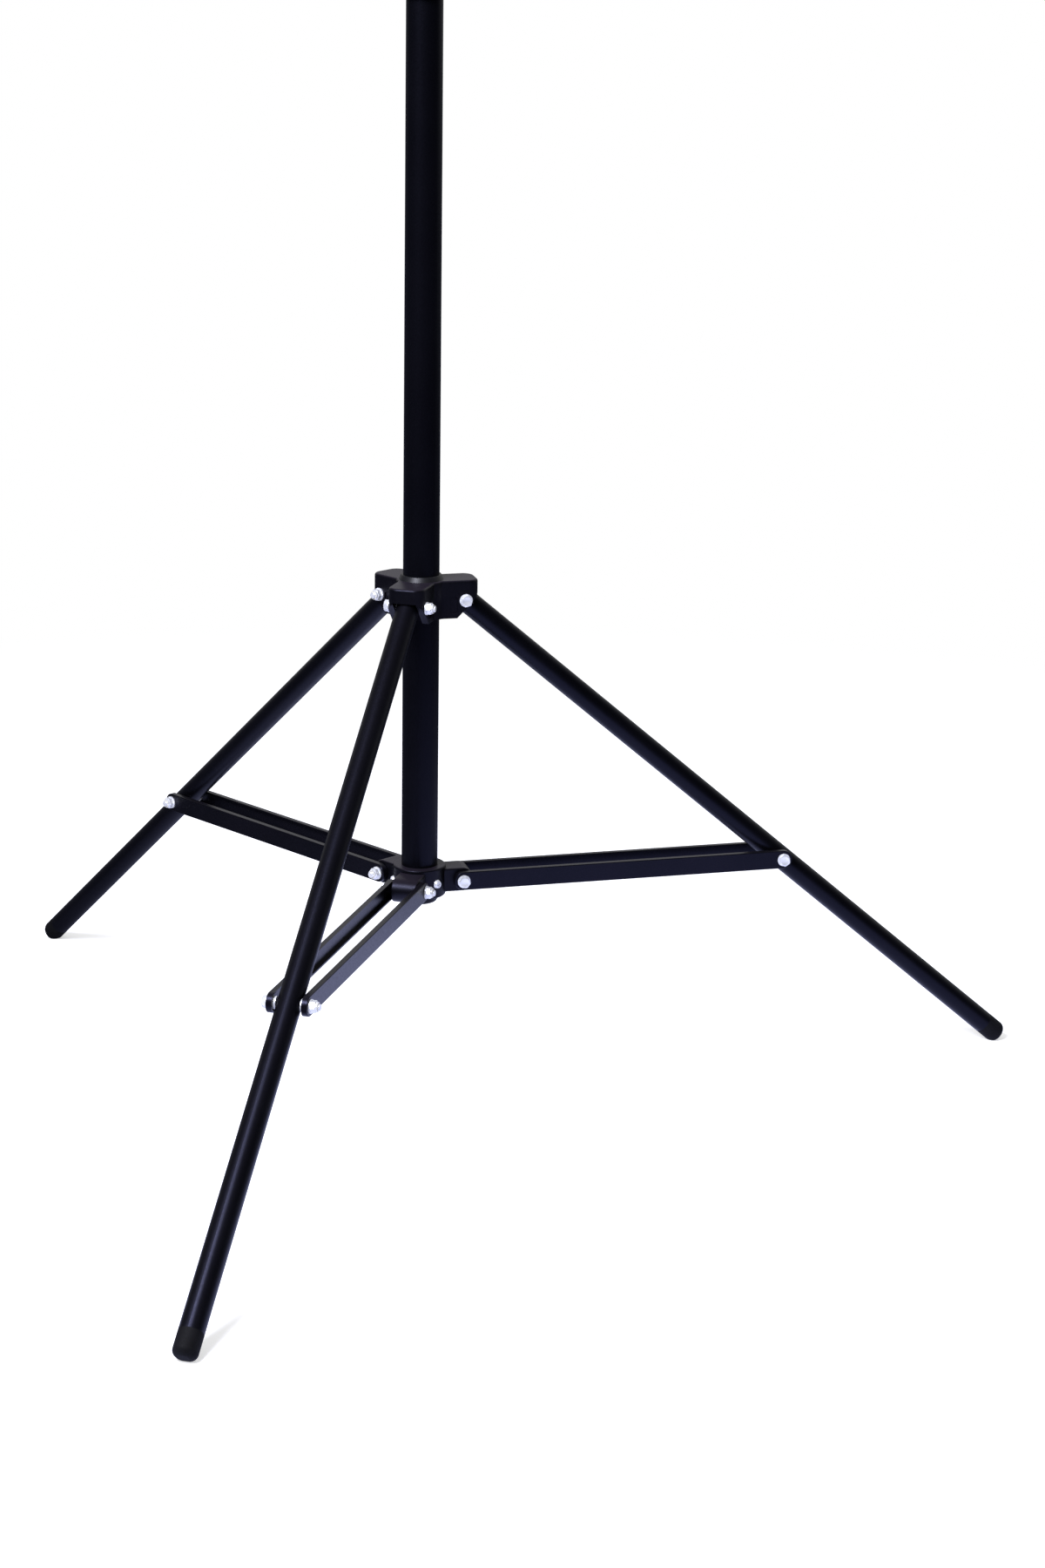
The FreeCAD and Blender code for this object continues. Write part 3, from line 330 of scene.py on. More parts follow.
@dataclass(frozen=True)
class Finish:
    """A finish: what it is made of and how its surface was made.

    Attributes:
        name: the material's name.
        colour: its main colour, as sRGB hex.
        tint: the colour that it drifts to over large areas.
        drift_mm: size of those areas.
        grain_mm: size of the surface's grain.
        grain_depth_mm: height of the grain.
        rough: lowest and highest roughness.
        specular: specular level of a non-metal.
        sheen: colour of its reflections seen face on.
        metallic: 1 for a metal.
        stretch: how much longer the grain is along Z than across it.
        dust_and_top_light: colour and share of a pale layer on faces that look up, or None: some real
            dust, and painted light from above that lightens the tops.
    """

    name: str
    colour: str
    tint: str
    drift_mm: float
    grain_mm: float
    grain_depth_mm: float
    rough: Tuple[float, float]
    specular: float = 0.5
    sheen: str = "#ffffff"
    metallic: float = 0.0
    stretch: float = 1.0
    dust_and_top_light: Optional[Tuple[str, float]] = None

    GRAIN_RANGE = (0.3, 0.7)  # nearly all of the noise lies between these values
    DRIFT_RANGE = (0.35, 0.65)
    BUMP_STRENGTH = 0.6
    TOP_LIGHT_SLOPE = 0.5  # the painted top light, with some dust, begins where a face looks up this much, from 0 to 1

    def build(self) -> bpy.types.Material:
        """Makes the material.

        Returns:
            The material.
        """
        material = bpy.data.materials.new(self.name)
        material.use_nodes = True
        tree = material.node_tree
        tree.nodes.clear()
        place = add_node(tree, "ShaderNodeTexCoord").outputs["Object"]
        grain = self._noise(tree, place, self.grain_mm, self.stretch, 4.0)
        roughness = add_node(
            tree,
            "ShaderNodeMapRange",
            {
                "Value": grain,
                "From Min": self.GRAIN_RANGE[0],
                "From Max": self.GRAIN_RANGE[1],
                "To Min": self.rough[0],
                "To Max": self.rough[1],
            },
        )
        bump = add_node(
            tree,
            "ShaderNodeBump",
            {
                "Height": grain,
                "Strength": self.BUMP_STRENGTH,
                "Distance": self.grain_depth_mm * MM,
            },
        )
        shader = add_node(
            tree,
            "ShaderNodeBsdfPrincipled",
            {
                "Base Color": self._colour(tree, place),
                "Roughness": roughness.outputs[0],
                "Normal": bump.outputs[0],
                "Metallic": self.metallic,
                "Specular IOR Level": self.specular,
                "Specular Tint": linear(self.sheen),
            },
        )
        add_node(tree, "ShaderNodeOutputMaterial", {"Surface": shader.outputs[0]})
        return material

    @staticmethod
    def _noise(
        tree: Tree, place: Socket, size_mm: float, stretch: float, detail: float
    ) -> Socket:
        """Noise with patches of a real size.

        Args:
            tree: the node tree.
            place: the coordinates.
            size_mm: the patches' size.
            stretch: how much longer they are along Z.
            detail: how many finer levels they have.

        Returns:
            The noise's value.
        """
        per_metre = 1.0 / (size_mm * MM)
        mapping = add_node(
            tree,
            "ShaderNodeMapping",
            {"Vector": place, "Scale": (per_metre, per_metre, per_metre / stretch)},
        )
        noise = add_node(
            tree,
            "ShaderNodeTexNoise",
            {"Vector": mapping.outputs[0], "Scale": 1.0, "Detail": detail},
        )
        return noise.outputs[0]

    def _colour(self, tree: Tree, place: Socket) -> Socket:
        """The colour: the main one, its drift, and painted light from above, with some dust, on faces
        that look up.

        Args:
            tree: the node tree.
            place: the coordinates.

        Returns:
            The colour.
        """
        drift = self._noise(tree, place, self.drift_mm, 1.0, 2.0)
        low, high = self.DRIFT_RANGE
        spread = add_node(
            tree, "ShaderNodeMapRange", {"Value": drift, "From Min": low, "From Max": high}
        )
        base = add_node(
            tree,
            "ShaderNodeMix",
            {0: spread.outputs[0], 6: linear(self.colour), 7: linear(self.tint)},
            data_type="RGBA",
        ).outputs[2]
        if self.dust_and_top_light is None:
            return base
        # Painted light: faces that look up are lightened towards a pale colour as if lit from above;
        # part of it stands for dust.
        dust_and_light_colour, most = self.dust_and_top_light
        normal = add_node(tree, "ShaderNodeTexCoord").outputs["Normal"]
        upward = add_node(tree, "ShaderNodeSeparateXYZ", {"Vector": normal}).outputs["Z"]
        share = add_node(
            tree,
            "ShaderNodeMapRange",
            {"Value": upward, "From Min": self.TOP_LIGHT_SLOPE, "From Max": 1.0, "To Max": most},
        )
        return add_node(
            tree,
            "ShaderNodeMix",
            {0: share.outputs[0], 6: base, 7: linear(dust_and_light_colour)},
            data_type="RGBA",
        ).outputs[2]


# Powder coat: fused polyester powder, with a fine orange peel that softens reflections and stays
# nearly black face on. Its real peel is about 1 mm; it is drawn at 1.6 mm so that it shows.
TUBE_COAT = Finish(
    "PowderCoat_SatinBlack", "#040406", "#060609", drift_mm=90.0, grain_mm=1.6, grain_depth_mm=0.03,
    # The pale layer on faces that look up is painted top light, with some dust.
    rough=(0.3, 0.4), specular=0.16, sheen="#cfd2ff", dust_and_top_light=("#3d3a44", 0.08),
)
# Powder coat on the pressed bars: the same powder on flat faces, where it flows smoother.
BAR_COAT = Finish(
    "PowderCoat_PressedBars", "#060609", "#09080d", drift_mm=70.0, grain_mm=1.4, grain_depth_mm=0.024,
    # The pale layer on faces that look up is painted top light, with some dust.
    rough=(0.26, 0.36), specular=0.2, sheen="#cfd2ff", dust_and_top_light=("#3d3a44", 0.08),
)
# Powder coat on the mast, polished in streaks along its length where it slides through its bush.
MAST_COAT = Finish(
    "PowderCoat_RubbedMast", "#09090c", "#101016", drift_mm=50.0, grain_mm=0.9, grain_depth_mm=0.006,
    rough=(0.24, 0.42), specular=0.2, stretch=60.0,
)
# Glass-filled nylon, injection moulded against a spark-eroded cavity: an even, fine sand texture.
CASTING = Finish(
    "GlassFilledNylon_MouldedBlack", "#050508", "#08070b", drift_mm=25.0, grain_mm=0.8,
    grain_depth_mm=0.03, rough=(0.34, 0.46), specular=0.2, sheen="#dcdcff",
    # The mauve layer on faces that look up is painted top light, with a little dust.
    dust_and_top_light=("#80728a", 0.06),
)
# Polypropylene plugs and caps: moulded smooth, a little waxy.
PLUG = Finish(
    "Polypropylene_MouldedBlack", "#0b0b0c", "#0f0f11", drift_mm=15.0, grain_mm=0.7,
    grain_depth_mm=0.015, rough=(0.38, 0.5), specular=0.3,
)
# Nylon bushes, turned and fine-grained.
BUSH = Finish(
    "Nylon_BushBlack", "#121214", "#161619", drift_mm=12.0, grain_mm=0.6, grain_depth_mm=0.01,
    rough=(0.36, 0.48), specular=0.35,
)
# Unfilled nylon, natural: a warm translucent grey-white.
GLIDE = Finish(
    "Nylon_Natural", "#b7b4aa", "#a8a59b", drift_mm=20.0, grain_mm=0.8, grain_depth_mm=0.01,
    rough=(0.35, 0.5), specular=0.45,
)
# Bright zinc plate with a clear passivate: cool, nearly white, faintly clouded.
ZINC = Finish(
    "ZincPlate_BrightPassivated", "#f4f5f7", "#e6e9ed", drift_mm=4.0, grain_mm=0.5,
    grain_depth_mm=0.006, rough=(0.34, 0.46), metallic=0.5,
)
# Free-cutting brass, turned.
BRASS = Finish(
    "Brass_Turned", "#c8a05a", "#b98f4a", drift_mm=6.0, grain_mm=0.4, grain_depth_mm=0.006,
    rough=(0.22, 0.36), metallic=1.0,
)
# Moulded rubber: dull, with a bloom of dust and painted top light on faces that look up.
RUBBER = Finish(
    "Rubber_MouldedBlack", "#08080a", "#0d0d10", drift_mm=14.0, grain_mm=0.9, grain_depth_mm=0.04,
    rough=(0.62, 0.8), specular=0.12, dust_and_top_light=("#4a484c", 0.05),
)
# Phenolic-look nylon knobs: moulded with a soft satin sheen.
KNOB = Finish(
    "Nylon_KnobSatin", "#0c0c0e", "#101014", drift_mm=18.0, grain_mm=0.7, grain_depth_mm=0.02,
    # The pale layer on the knobs' faces that look up is painted top light, with some dust.
    rough=(0.36, 0.46), specular=0.35, dust_and_top_light=("#55525a", 0.15),
)
# The lock ring of a nut: white nylon, gone slightly yellow.
LOCK_NYLON = Finish(
    "Nylon_LockRing", "#dcd9cc", "#cfcab8", drift_mm=3.0, grain_mm=0.4, grain_depth_mm=0.008,
    rough=(0.4, 0.5), specular=0.45,
)


class Wardrobe:
    """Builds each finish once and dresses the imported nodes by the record's material slots."""

    SLOTS: Dict[str, Finish] = {
        "pole_steel": TUBE_COAT,
        "leg_steel": TUBE_COAT,
        "bar_steel": BAR_COAT,
        "mast_steel": MAST_COAT,
        "casting_black": CASTING,
        "plug_black": PLUG,
        "nylon_black": BUSH,
        "nylon_grey": GLIDE,
        "zinc": ZINC,
        "brass": BRASS,
        "rubber_black": RUBBER,
        "knob_black": KNOB,
    }

    def __init__(self) -> None:
        """Starts with nothing built."""
        self._built: Dict[str, bpy.types.Material] = {}

    def material(self, finish: Finish) -> bpy.types.Material:
        """The material of a finish, made the first time it is asked for.

        Args:
            finish: the finish.

        Returns:
            Its material.
        """
        if finish.name not in self._built:
            self._built[finish.name] = finish.build()
        return self._built[finish.name]

    def dress(self, piece: bpy.types.Object, finish: Finish) -> None:
        """Gives an object one finish all over."""
        piece.data.materials.clear()
        piece.data.materials.append(self.material(finish))

    def dress_nodes(self) -> None:
        """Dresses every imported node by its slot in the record."""
        for subpart in frame["record"]["subparts"]:
            self.dress(frame["nodes"][subpart["node"]], self.SLOTS[subpart["material_slot"]])


# ---------------------------------------------------------------- fasteners
@dataclass
class ThreadedRod:
    """A rod with a V thread, along Z from 0.

    Attributes:
        diameter: outside diameter of the thread.
        pitch: the thread's pitch.
        length: the rod's length.
        steps: straight steps in one turn.
    """

    diameter: float
    pitch: float
    length: float
    steps: int = 32

    DEPTH = 0.6  # depth of the V, as a share of the pitch
    MERGE_SHARE = 0.01  # vertices within this share of the pitch are one

    def build(self, name: str) -> bpy.types.Object:
        """Winds the thread and cuts its ends square.

        Args:
            name: the piece's name.

        Returns:
            The rod.
        """
        clear_selection()
        outer = self.diameter / 2
        depth = self.DEPTH * self.pitch
        bpy.ops.mesh.primitive_plane_add(size=self.pitch, location=(outer, 0.0, -self.pitch))
        piece = start_piece(name)
        edit(piece)
        bpy.ops.mesh.select_all(action="SELECT")
        bpy.ops.mesh.merge(type="CENTER")
        for _ in range(int(self.length / self.pitch) + 2):
            for step in (-depth, depth):
                bpy.ops.mesh.extrude_region_move(
                    TRANSFORM_OT_translate={"value": (step, 0.0, self.pitch / 2)}
                )
        bpy.ops.object.mode_set(mode="OBJECT")
        apply_place()
        apply_modifier(
            piece,
            "SCREW",
            angle=2 * math.pi,
            screw_offset=self.pitch,
            steps=self.steps,
            render_steps=self.steps,
            use_merge_vertices=False,
        )
        close_surface(piece, self.pitch * self.MERGE_SHARE)
        cut_off(piece, 0.0, above=False)
        cut_off(piece, self.length, above=True)
        close_surface(piece)
        return piece


@dataclass
class CrossBolt:
    """A hex-headed bolt across a leg's plane: head towards -Z, thread end towards +Z.

    Attributes:
        grip: half the thickness that the bolt holds.
        split: half the length left out in the middle, or 0 for a whole shank.
        diameter: outside diameter of the thread.
        pitch: the thread's pitch.
        flats: width across the head's flats.
        head_height: height of the head.
        washer: thickness of the washers.
        nut_height: height of the nut.
        stud_end: how far the thread stands out of the nut.
    """

    grip: float
    split: float = 0.0
    diameter: float = 6.0 * MM
    pitch: float = 1.0 * MM
    flats: float = 10.0 * MM
    head_height: float = 4.0 * MM
    washer: float = 1.2 * MM
    nut_height: float = 6.0 * MM
    stud_end: float = 2.0 * MM

    BEARING = 0.48  # radius of the round inside the bevel, as a share of the flats
    BEVEL_SLOPE = math.radians(30.0)
    DISH_RIM = 0.1  # widths round the head's dish, as shares of the flats
    DISH_WALL = 0.06
    DISH_DEPTH = 0.25 * MM
    SHANK_PLAY = 0.02 * MM
    SHANK_EASE = 0.2 * MM

    def build(self, name: str) -> bpy.types.Object:
        """Models the head, the shank and the thread as one piece.

        Args:
            name: the piece's name.

        Returns:
            The bolt, its middle at the origin.
        """
        seat = self.grip + self.washer
        thread_start = seat + self.nut_height - self.pitch
        sunk = self.pitch / 2  # how far the shank reaches into the head and into the thread
        low = -seat - sunk
        high = thread_start + sunk
        pieces = [self._head(name, seat), self._thread(name, thread_start)]
        if self.split > 0.0:
            pieces.append(self._shank(name, low, -self.split))
            pieces.append(self._shank(name, self.split, high))
        else:
            pieces.append(self._shank(name, low, high))
        return join_pieces(pieces)

    def _head(self, name: str, seat: float) -> bpy.types.Object:
        """The head: a turned blank with a bevelled, dished face, then cut to six flats.

        Args:
            name: the piece's name.
            seat: distance of the head's underside from the bolt's middle.

        Returns:
            The head.
        """
        corner = self.flats / math.sqrt(3)
        rim = corner - self.flats * self.BEARING
        bevel = rim * math.tan(self.BEVEL_SLOPE)
        clear_selection()
        bpy.ops.mesh.primitive_cylinder_add(
            vertices=96,
            radius=corner,
            depth=self.head_height - bevel,
            location=(0.0, 0.0, -seat - (self.head_height - bevel) / 2),
        )
        piece = start_piece(name)
        apply_place()
        edit(piece)
        pick(piece, "FACE", lambda face: face.normal.z < -0.9)
        bpy.ops.mesh.inset(thickness=rim, depth=bevel)
        bpy.ops.mesh.inset(thickness=self.flats * self.DISH_RIM, depth=0.0)
        bpy.ops.mesh.inset(thickness=self.flats * self.DISH_WALL, depth=-self.DISH_DEPTH)
        for side in range(6):
            angle = math.radians(60.0 * side)
            flat = Vector((math.cos(angle), math.sin(angle), 0.0))
            bpy.ops.mesh.select_all(action="SELECT")
            bpy.ops.mesh.bisect(
                plane_co=flat * self.flats / 2,
                plane_no=flat,
                use_fill=True,
                clear_outer=True,
                threshold=ON_PLANE,
            )
        bpy.ops.object.mode_set(mode="OBJECT")
        return piece

    def _shank(self, name: str, low: float, high: float) -> bpy.types.Object:
        """A plain length of the shank, its ends eased.

        Args:
            name: the piece's name.
            low: where it starts along the bolt.
            high: where it ends.

        Returns:
            The length of shank.
        """
        clear_selection()
        bpy.ops.mesh.primitive_cylinder_add(
            vertices=48,
            radius=self.diameter / 2 - self.SHANK_PLAY,
            depth=high - low,
            location=(0.0, 0.0, (low + high) / 2),
        )
        piece = start_piece(name + "_shank")
        apply_place()
        edit(piece)
        pick(piece, "EDGE", lambda edge: abs(edge.verts[0].co.z - edge.verts[1].co.z) < MERGE)
        bpy.ops.mesh.bevel(offset=self.SHANK_EASE, segments=2)
        bpy.ops.object.mode_set(mode="OBJECT")
        return piece

    def _thread(self, name: str, start: float) -> bpy.types.Object:
        """The threaded end, from inside the nut to the bolt's tip.

        Args:
            name: the piece's name.
            start: where it starts along the bolt.

        Returns:
            The threaded end.
        """
        end = self.grip + self.washer + self.nut_height + self.stud_end
        piece = ThreadedRod(self.diameter, self.pitch, end - start).build(name + "_thread")
        piece.location.z = start
        apply_place()
        return piece


@dataclass
class LockRing:
    """The nylon ring in a lock nut's collar, along Z from 0.

    Attributes:
        inner: its inside diameter, on the thread.
        outer: its outside diameter, in the collar.
        proud: how far it stands out of the collar.
        depth: how far it reaches into the collar.
    """

    inner: float = 6.06 * MM
    outer: float = 7.7 * MM
    proud: float = 0.18 * MM
    depth: float = 0.4 * MM

    EASE = 0.08 * MM

    def build(self, name: str) -> bpy.types.Object:
        """Models the ring: a disc, inset and bridged through, with its rim eased.

        Args:
            name: the piece's name.

        Returns:
            The ring.
        """
        clear_selection()
        height = self.proud + self.depth
        bpy.ops.mesh.primitive_cylinder_add(
            vertices=48,
            radius=self.outer / 2,
            depth=height,
            location=(0.0, 0.0, self.proud - height / 2),
        )
        piece = start_piece(name)
        apply_place()
        edit(piece)
        pick(piece, "FACE", lambda face: abs(face.normal.z) > 0.9)
        bpy.ops.mesh.inset(thickness=(self.outer - self.inner) / 2, depth=0.0)
        bpy.ops.mesh.delete(type="ONLY_FACE")
        pick(piece, "EDGE", lambda edge: edge.is_boundary)
        bpy.ops.mesh.bridge_edge_loops()
        pick(piece, "EDGE", self._on_proud_rim)
        bpy.ops.mesh.bevel(offset=self.EASE, segments=3)
        bpy.ops.object.mode_set(mode="OBJECT")
        close_surface(piece)
        return piece

    def _on_proud_rim(self, edge: bmesh.types.BMEdge) -> bool:
        """Whether an edge runs round the ring's proud face."""
        near, far = (v.co.xy.length for v in edge.verts)
        level = all(v.co.z > self.proud - MERGE for v in edge.verts)
        return level and abs(near - far) < 10 * MERGE


@dataclass
class CrossFasteners:
    """The same bolt and lock ring at each leg, in place of packed bolts.

    Attributes:
        label: the start of the pieces' names.
        bolt: the bolt.
        radius: distance of its axis from the pole's.
        height: height of its axis.
        turned: how far the first bolt happens to be turned, in degrees.
        bodies: the body that the pieces ride on, for each leg.
        nodes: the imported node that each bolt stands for.
    """

    label: str
    bolt: CrossBolt
    radius: float
    height: float
    turned: float
    bodies: Dict[Leg, str]
    nodes: Dict[Leg, str]

    def make(self, wardrobe: Wardrobe) -> None:
        """Models a bolt and a ring, and copies them to every leg.

        Args:
            wardrobe: where their finishes come from.
        """
        nut_top = self.bolt.grip + self.bolt.washer + self.bolt.nut_height
        bolt_names = [f"{self.label}_hex_bolt_{leg.label}" for leg in Leg]
        ring_names = [f"{self.label}_lock_ring_{leg.label}" for leg in Leg]
        bolts = repeat(self.bolt.build("bolt"), bolt_names)
        rings = repeat(LockRing().build("ring"), ring_names)
        for count, (leg, bolt, ring) in enumerate(zip(Leg, bolts, rings)):
            turn = math.radians(self.turned + BOLT_TURN_STEP * count)
            place = station_place(leg, self.radius, self.height) @ Matrix.Rotation(turn, 4, "Z")
            settle(bolt, place, smooth_angle=30.0)
            wardrobe.dress(bolt, ZINC)
            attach(bolt, self.bodies[leg])
            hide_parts(self.nodes[leg])
            on_nut = place @ Matrix.Translation((0.0, 0.0, nut_top))
            settle(ring, on_nut, smooth_angle=40.0)
            wardrobe.dress(ring, LOCK_NYLON)
            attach(ring, self.bodies[leg])
            log.info("%s fastener at the %s leg", self.label, leg.label)


@dataclass
class ClampStud:
    """A clamp's threaded stud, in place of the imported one.

    Attributes:
        clamp: the clamp that it belongs to.
        body: the body that it rides on.
        diameter: outside diameter of the thread.
        pitch: the thread's pitch.
    """

    clamp: str
    body: str
    diameter: float = 8.0 * MM
    pitch: float = 1.25 * MM

    def make(self, wardrobe: Wardrobe) -> None:
        """Winds the stud's thread from its tip in the shoe to its end in the knob.

        Args:
            wardrobe: where its finish comes from.
        """
        node = self.clamp + "_stud"
        low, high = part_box(node)
        piece = ThreadedRod(self.diameter, self.pitch, high.y - low.y).build(node + "_thread")
        centre = (low + high) / 2
        settle(piece, depth_axis_place(centre.x, low.y, centre.z), smooth_angle=30.0)
        wardrobe.dress(piece, ZINC)
        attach(piece, self.body)
        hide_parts(node)
        log.info("%s", piece.name)


@dataclass
class KnobCap:
    """The snap-in cap in the dish of a knob's face.

    Attributes:
        clamp: the clamp that the knob belongs to.
        body: the body that it rides on.
        share: the cap's diameter as a share of the knob's.
        depth: the cap's thickness.
    """

    clamp: str
    body: str
    share: float = 0.47
    depth: float = 1.1 * MM

    RIM = 0.12  # widths of the steps in its face, as shares of its radius
    GROOVE = 0.05
    SLOPE = 0.3
    GROOVE_DEPTH = 0.35 * MM
    HOLLOW = 0.12 * MM
    ROUNDING = 0.3 * MM

    def make(self, wardrobe: Wardrobe) -> None:
        """Models the cap: a disc with a rounded rim, a groove and a shallow middle.

        Args:
            wardrobe: where its finish comes from.
        """
        low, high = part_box(self.clamp + "_knob")
        radius = (high.x - low.x) / 2 * self.share
        clear_selection()
        bpy.ops.mesh.primitive_cylinder_add(
            vertices=64, radius=radius, depth=self.depth, location=(0.0, 0.0, -self.depth / 2)
        )
        piece = start_piece(self.clamp + "_knob_cap")
        apply_place()
        edit(piece)
        pick(piece, "FACE", lambda face: face.normal.z > 0.9)
        bpy.ops.mesh.inset(thickness=radius * self.RIM, depth=0.0)
        bpy.ops.mesh.inset(thickness=radius * self.GROOVE, depth=-self.GROOVE_DEPTH)
        bpy.ops.mesh.inset(thickness=radius * self.GROOVE, depth=self.GROOVE_DEPTH)
        bpy.ops.mesh.inset(thickness=radius * self.SLOPE, depth=-self.HOLLOW)
        pick(piece, "EDGE", lambda edge: self._on_rim(edge, radius - MERGE))
        bpy.ops.mesh.bevel(offset=self.ROUNDING, segments=4)
        bpy.ops.object.mode_set(mode="OBJECT")
        centre = (low + high) / 2
        settle(piece, depth_axis_place(centre.x, high.y, centre.z), smooth_angle=40.0)
        wardrobe.dress(piece, PLUG)
        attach(piece, self.body)
        log.info("%s", piece.name)

    @staticmethod
    def _on_rim(edge: bmesh.types.BMEdge, inside: float) -> bool:
        """Whether an edge lies on the cap's face and farther out than a radius."""
        return all(v.co.z > -MERGE and v.co.xy.length > inside for v in edge.verts)


@dataclass
class SplitRing:
    """The safety pin's split ring: two close turns of wire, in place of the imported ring.

    Attributes:
        wire: the wire's diameter.
        turns: how many turns it has.
        steps: straight steps in the winding.
    """

    wire: float = 1.2 * MM
    turns: float = 1.96
    steps: int = 160

    def make(self, wardrobe: Wardrobe) -> None:
        """Winds the ring from one round section and closes the wire's ends.

        Args:
            wardrobe: where its finish comes from.
        """
        low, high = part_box("pin_ring")
        centre = (low + high) / 2
        radius = (high.z - low.z) / 2 - self.wire / 2
        clear_selection()
        bpy.ops.mesh.primitive_circle_add(
            vertices=16,
            radius=self.wire / 2,
            fill_type="NOTHING",
            location=(radius, 0.0, -self.wire * self.turns / 2),
            rotation=(math.pi / 2, 0.0, 0.0),
        )
        piece = start_piece("pin_split_ring")
        apply_place()
        apply_modifier(
            piece,
            "SCREW",
            angle=2 * math.pi * self.turns,
            screw_offset=self.wire * self.turns,
            steps=self.steps,
            render_steps=self.steps,
        )
        edit(piece)
        pick(piece, "EDGE", lambda edge: edge.is_boundary)
        bpy.ops.mesh.edge_face_add()
        bpy.ops.object.mode_set(mode="OBJECT")
        close_surface(piece)
        place = Matrix.Translation(centre) @ Matrix.Rotation(math.pi / 2, 4, "Y")
        settle(piece, place, smooth_angle=60.0)
        wardrobe.dress(piece, ZINC)
        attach(piece, "safety_pin")
        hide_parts("pin_ring")
        log.info("%s", piece.name)


# ---------------------------------------------------------------- studio
@dataclass(frozen=True)
class StudioCamera:
    """Where the camera stands, and how it looks.

    Attributes:
        place: its place.
        heading: direction that it looks in, in degrees from +X.
        dip: how far it looks down, in degrees.
        roll: how far it leans, in degrees.
        lens: focal length in millimetres.
        sensor: width of the sensor in millimetres.
        shift: vertical shift, as a share of the picture's height.
    """

    place: Tuple[float, float, float] = (0.8673, -2.7375, 1.1328)
    heading: float = 105.6847
    dip: float = 8.7502
    roll: float = -0.6375
    lens: float = 70.331
    sensor: float = 36.0
    shift: float = -0.25

    def make(self) -> None:
        """Makes the camera and gives it to the scene."""
        data = bpy.data.cameras.new("camera")
        data.lens = self.lens
        data.sensor_width = self.sensor
        data.shift_y = self.shift
        camera = bpy.data.objects.new("camera", data)
        bpy.context.scene.collection.objects.link(camera)
        heading, dip, roll = (math.radians(v) for v in (self.heading, self.dip, self.roll))
        forward = Vector(
            (math.cos(heading) * math.cos(dip), math.sin(heading) * math.cos(dip), -math.sin(dip))
        )
        level = Vector((math.sin(heading), -math.cos(heading), 0.0))
        down = forward.cross(level)
        right = level * math.cos(roll) + down * math.sin(roll)
        up = level * math.sin(roll) - down * math.cos(roll)
        turn = Matrix((right, up, -forward)).transposed().to_4x4()
        camera.matrix_world = Matrix.Translation(self.place) @ turn
        bpy.context.scene.camera = camera


@dataclass(frozen=True)
class Lamp:
    """A soft box.

    Attributes:
        name: its name.
        place: its middle.
        target: the point that it faces.
        size: its width and height.
        power: its power in watts.
        colour: its colour, as sRGB hex.
    """

    name: str
    place: Tuple[float, float, float]
    target: Tuple[float, float, float]
    size: Tuple[float, float]
    power: float
    colour: str

    def make(self) -> None:
        """Makes the lamp."""
        data = bpy.data.lights.new(self.name, "AREA")
        data.shape = "RECTANGLE"
        data.size, data.size_y = self.size
        data.energy = self.power
        data.color = linear(self.colour)[:3]
        lamp = bpy.data.objects.new(self.name, data)
        bpy.context.scene.collection.objects.link(lamp)
        aim = Vector(self.target) - Vector(self.place)
        lamp.location = self.place
        lamp.rotation_euler = aim.to_track_quat("-Z", "Y").to_euler()


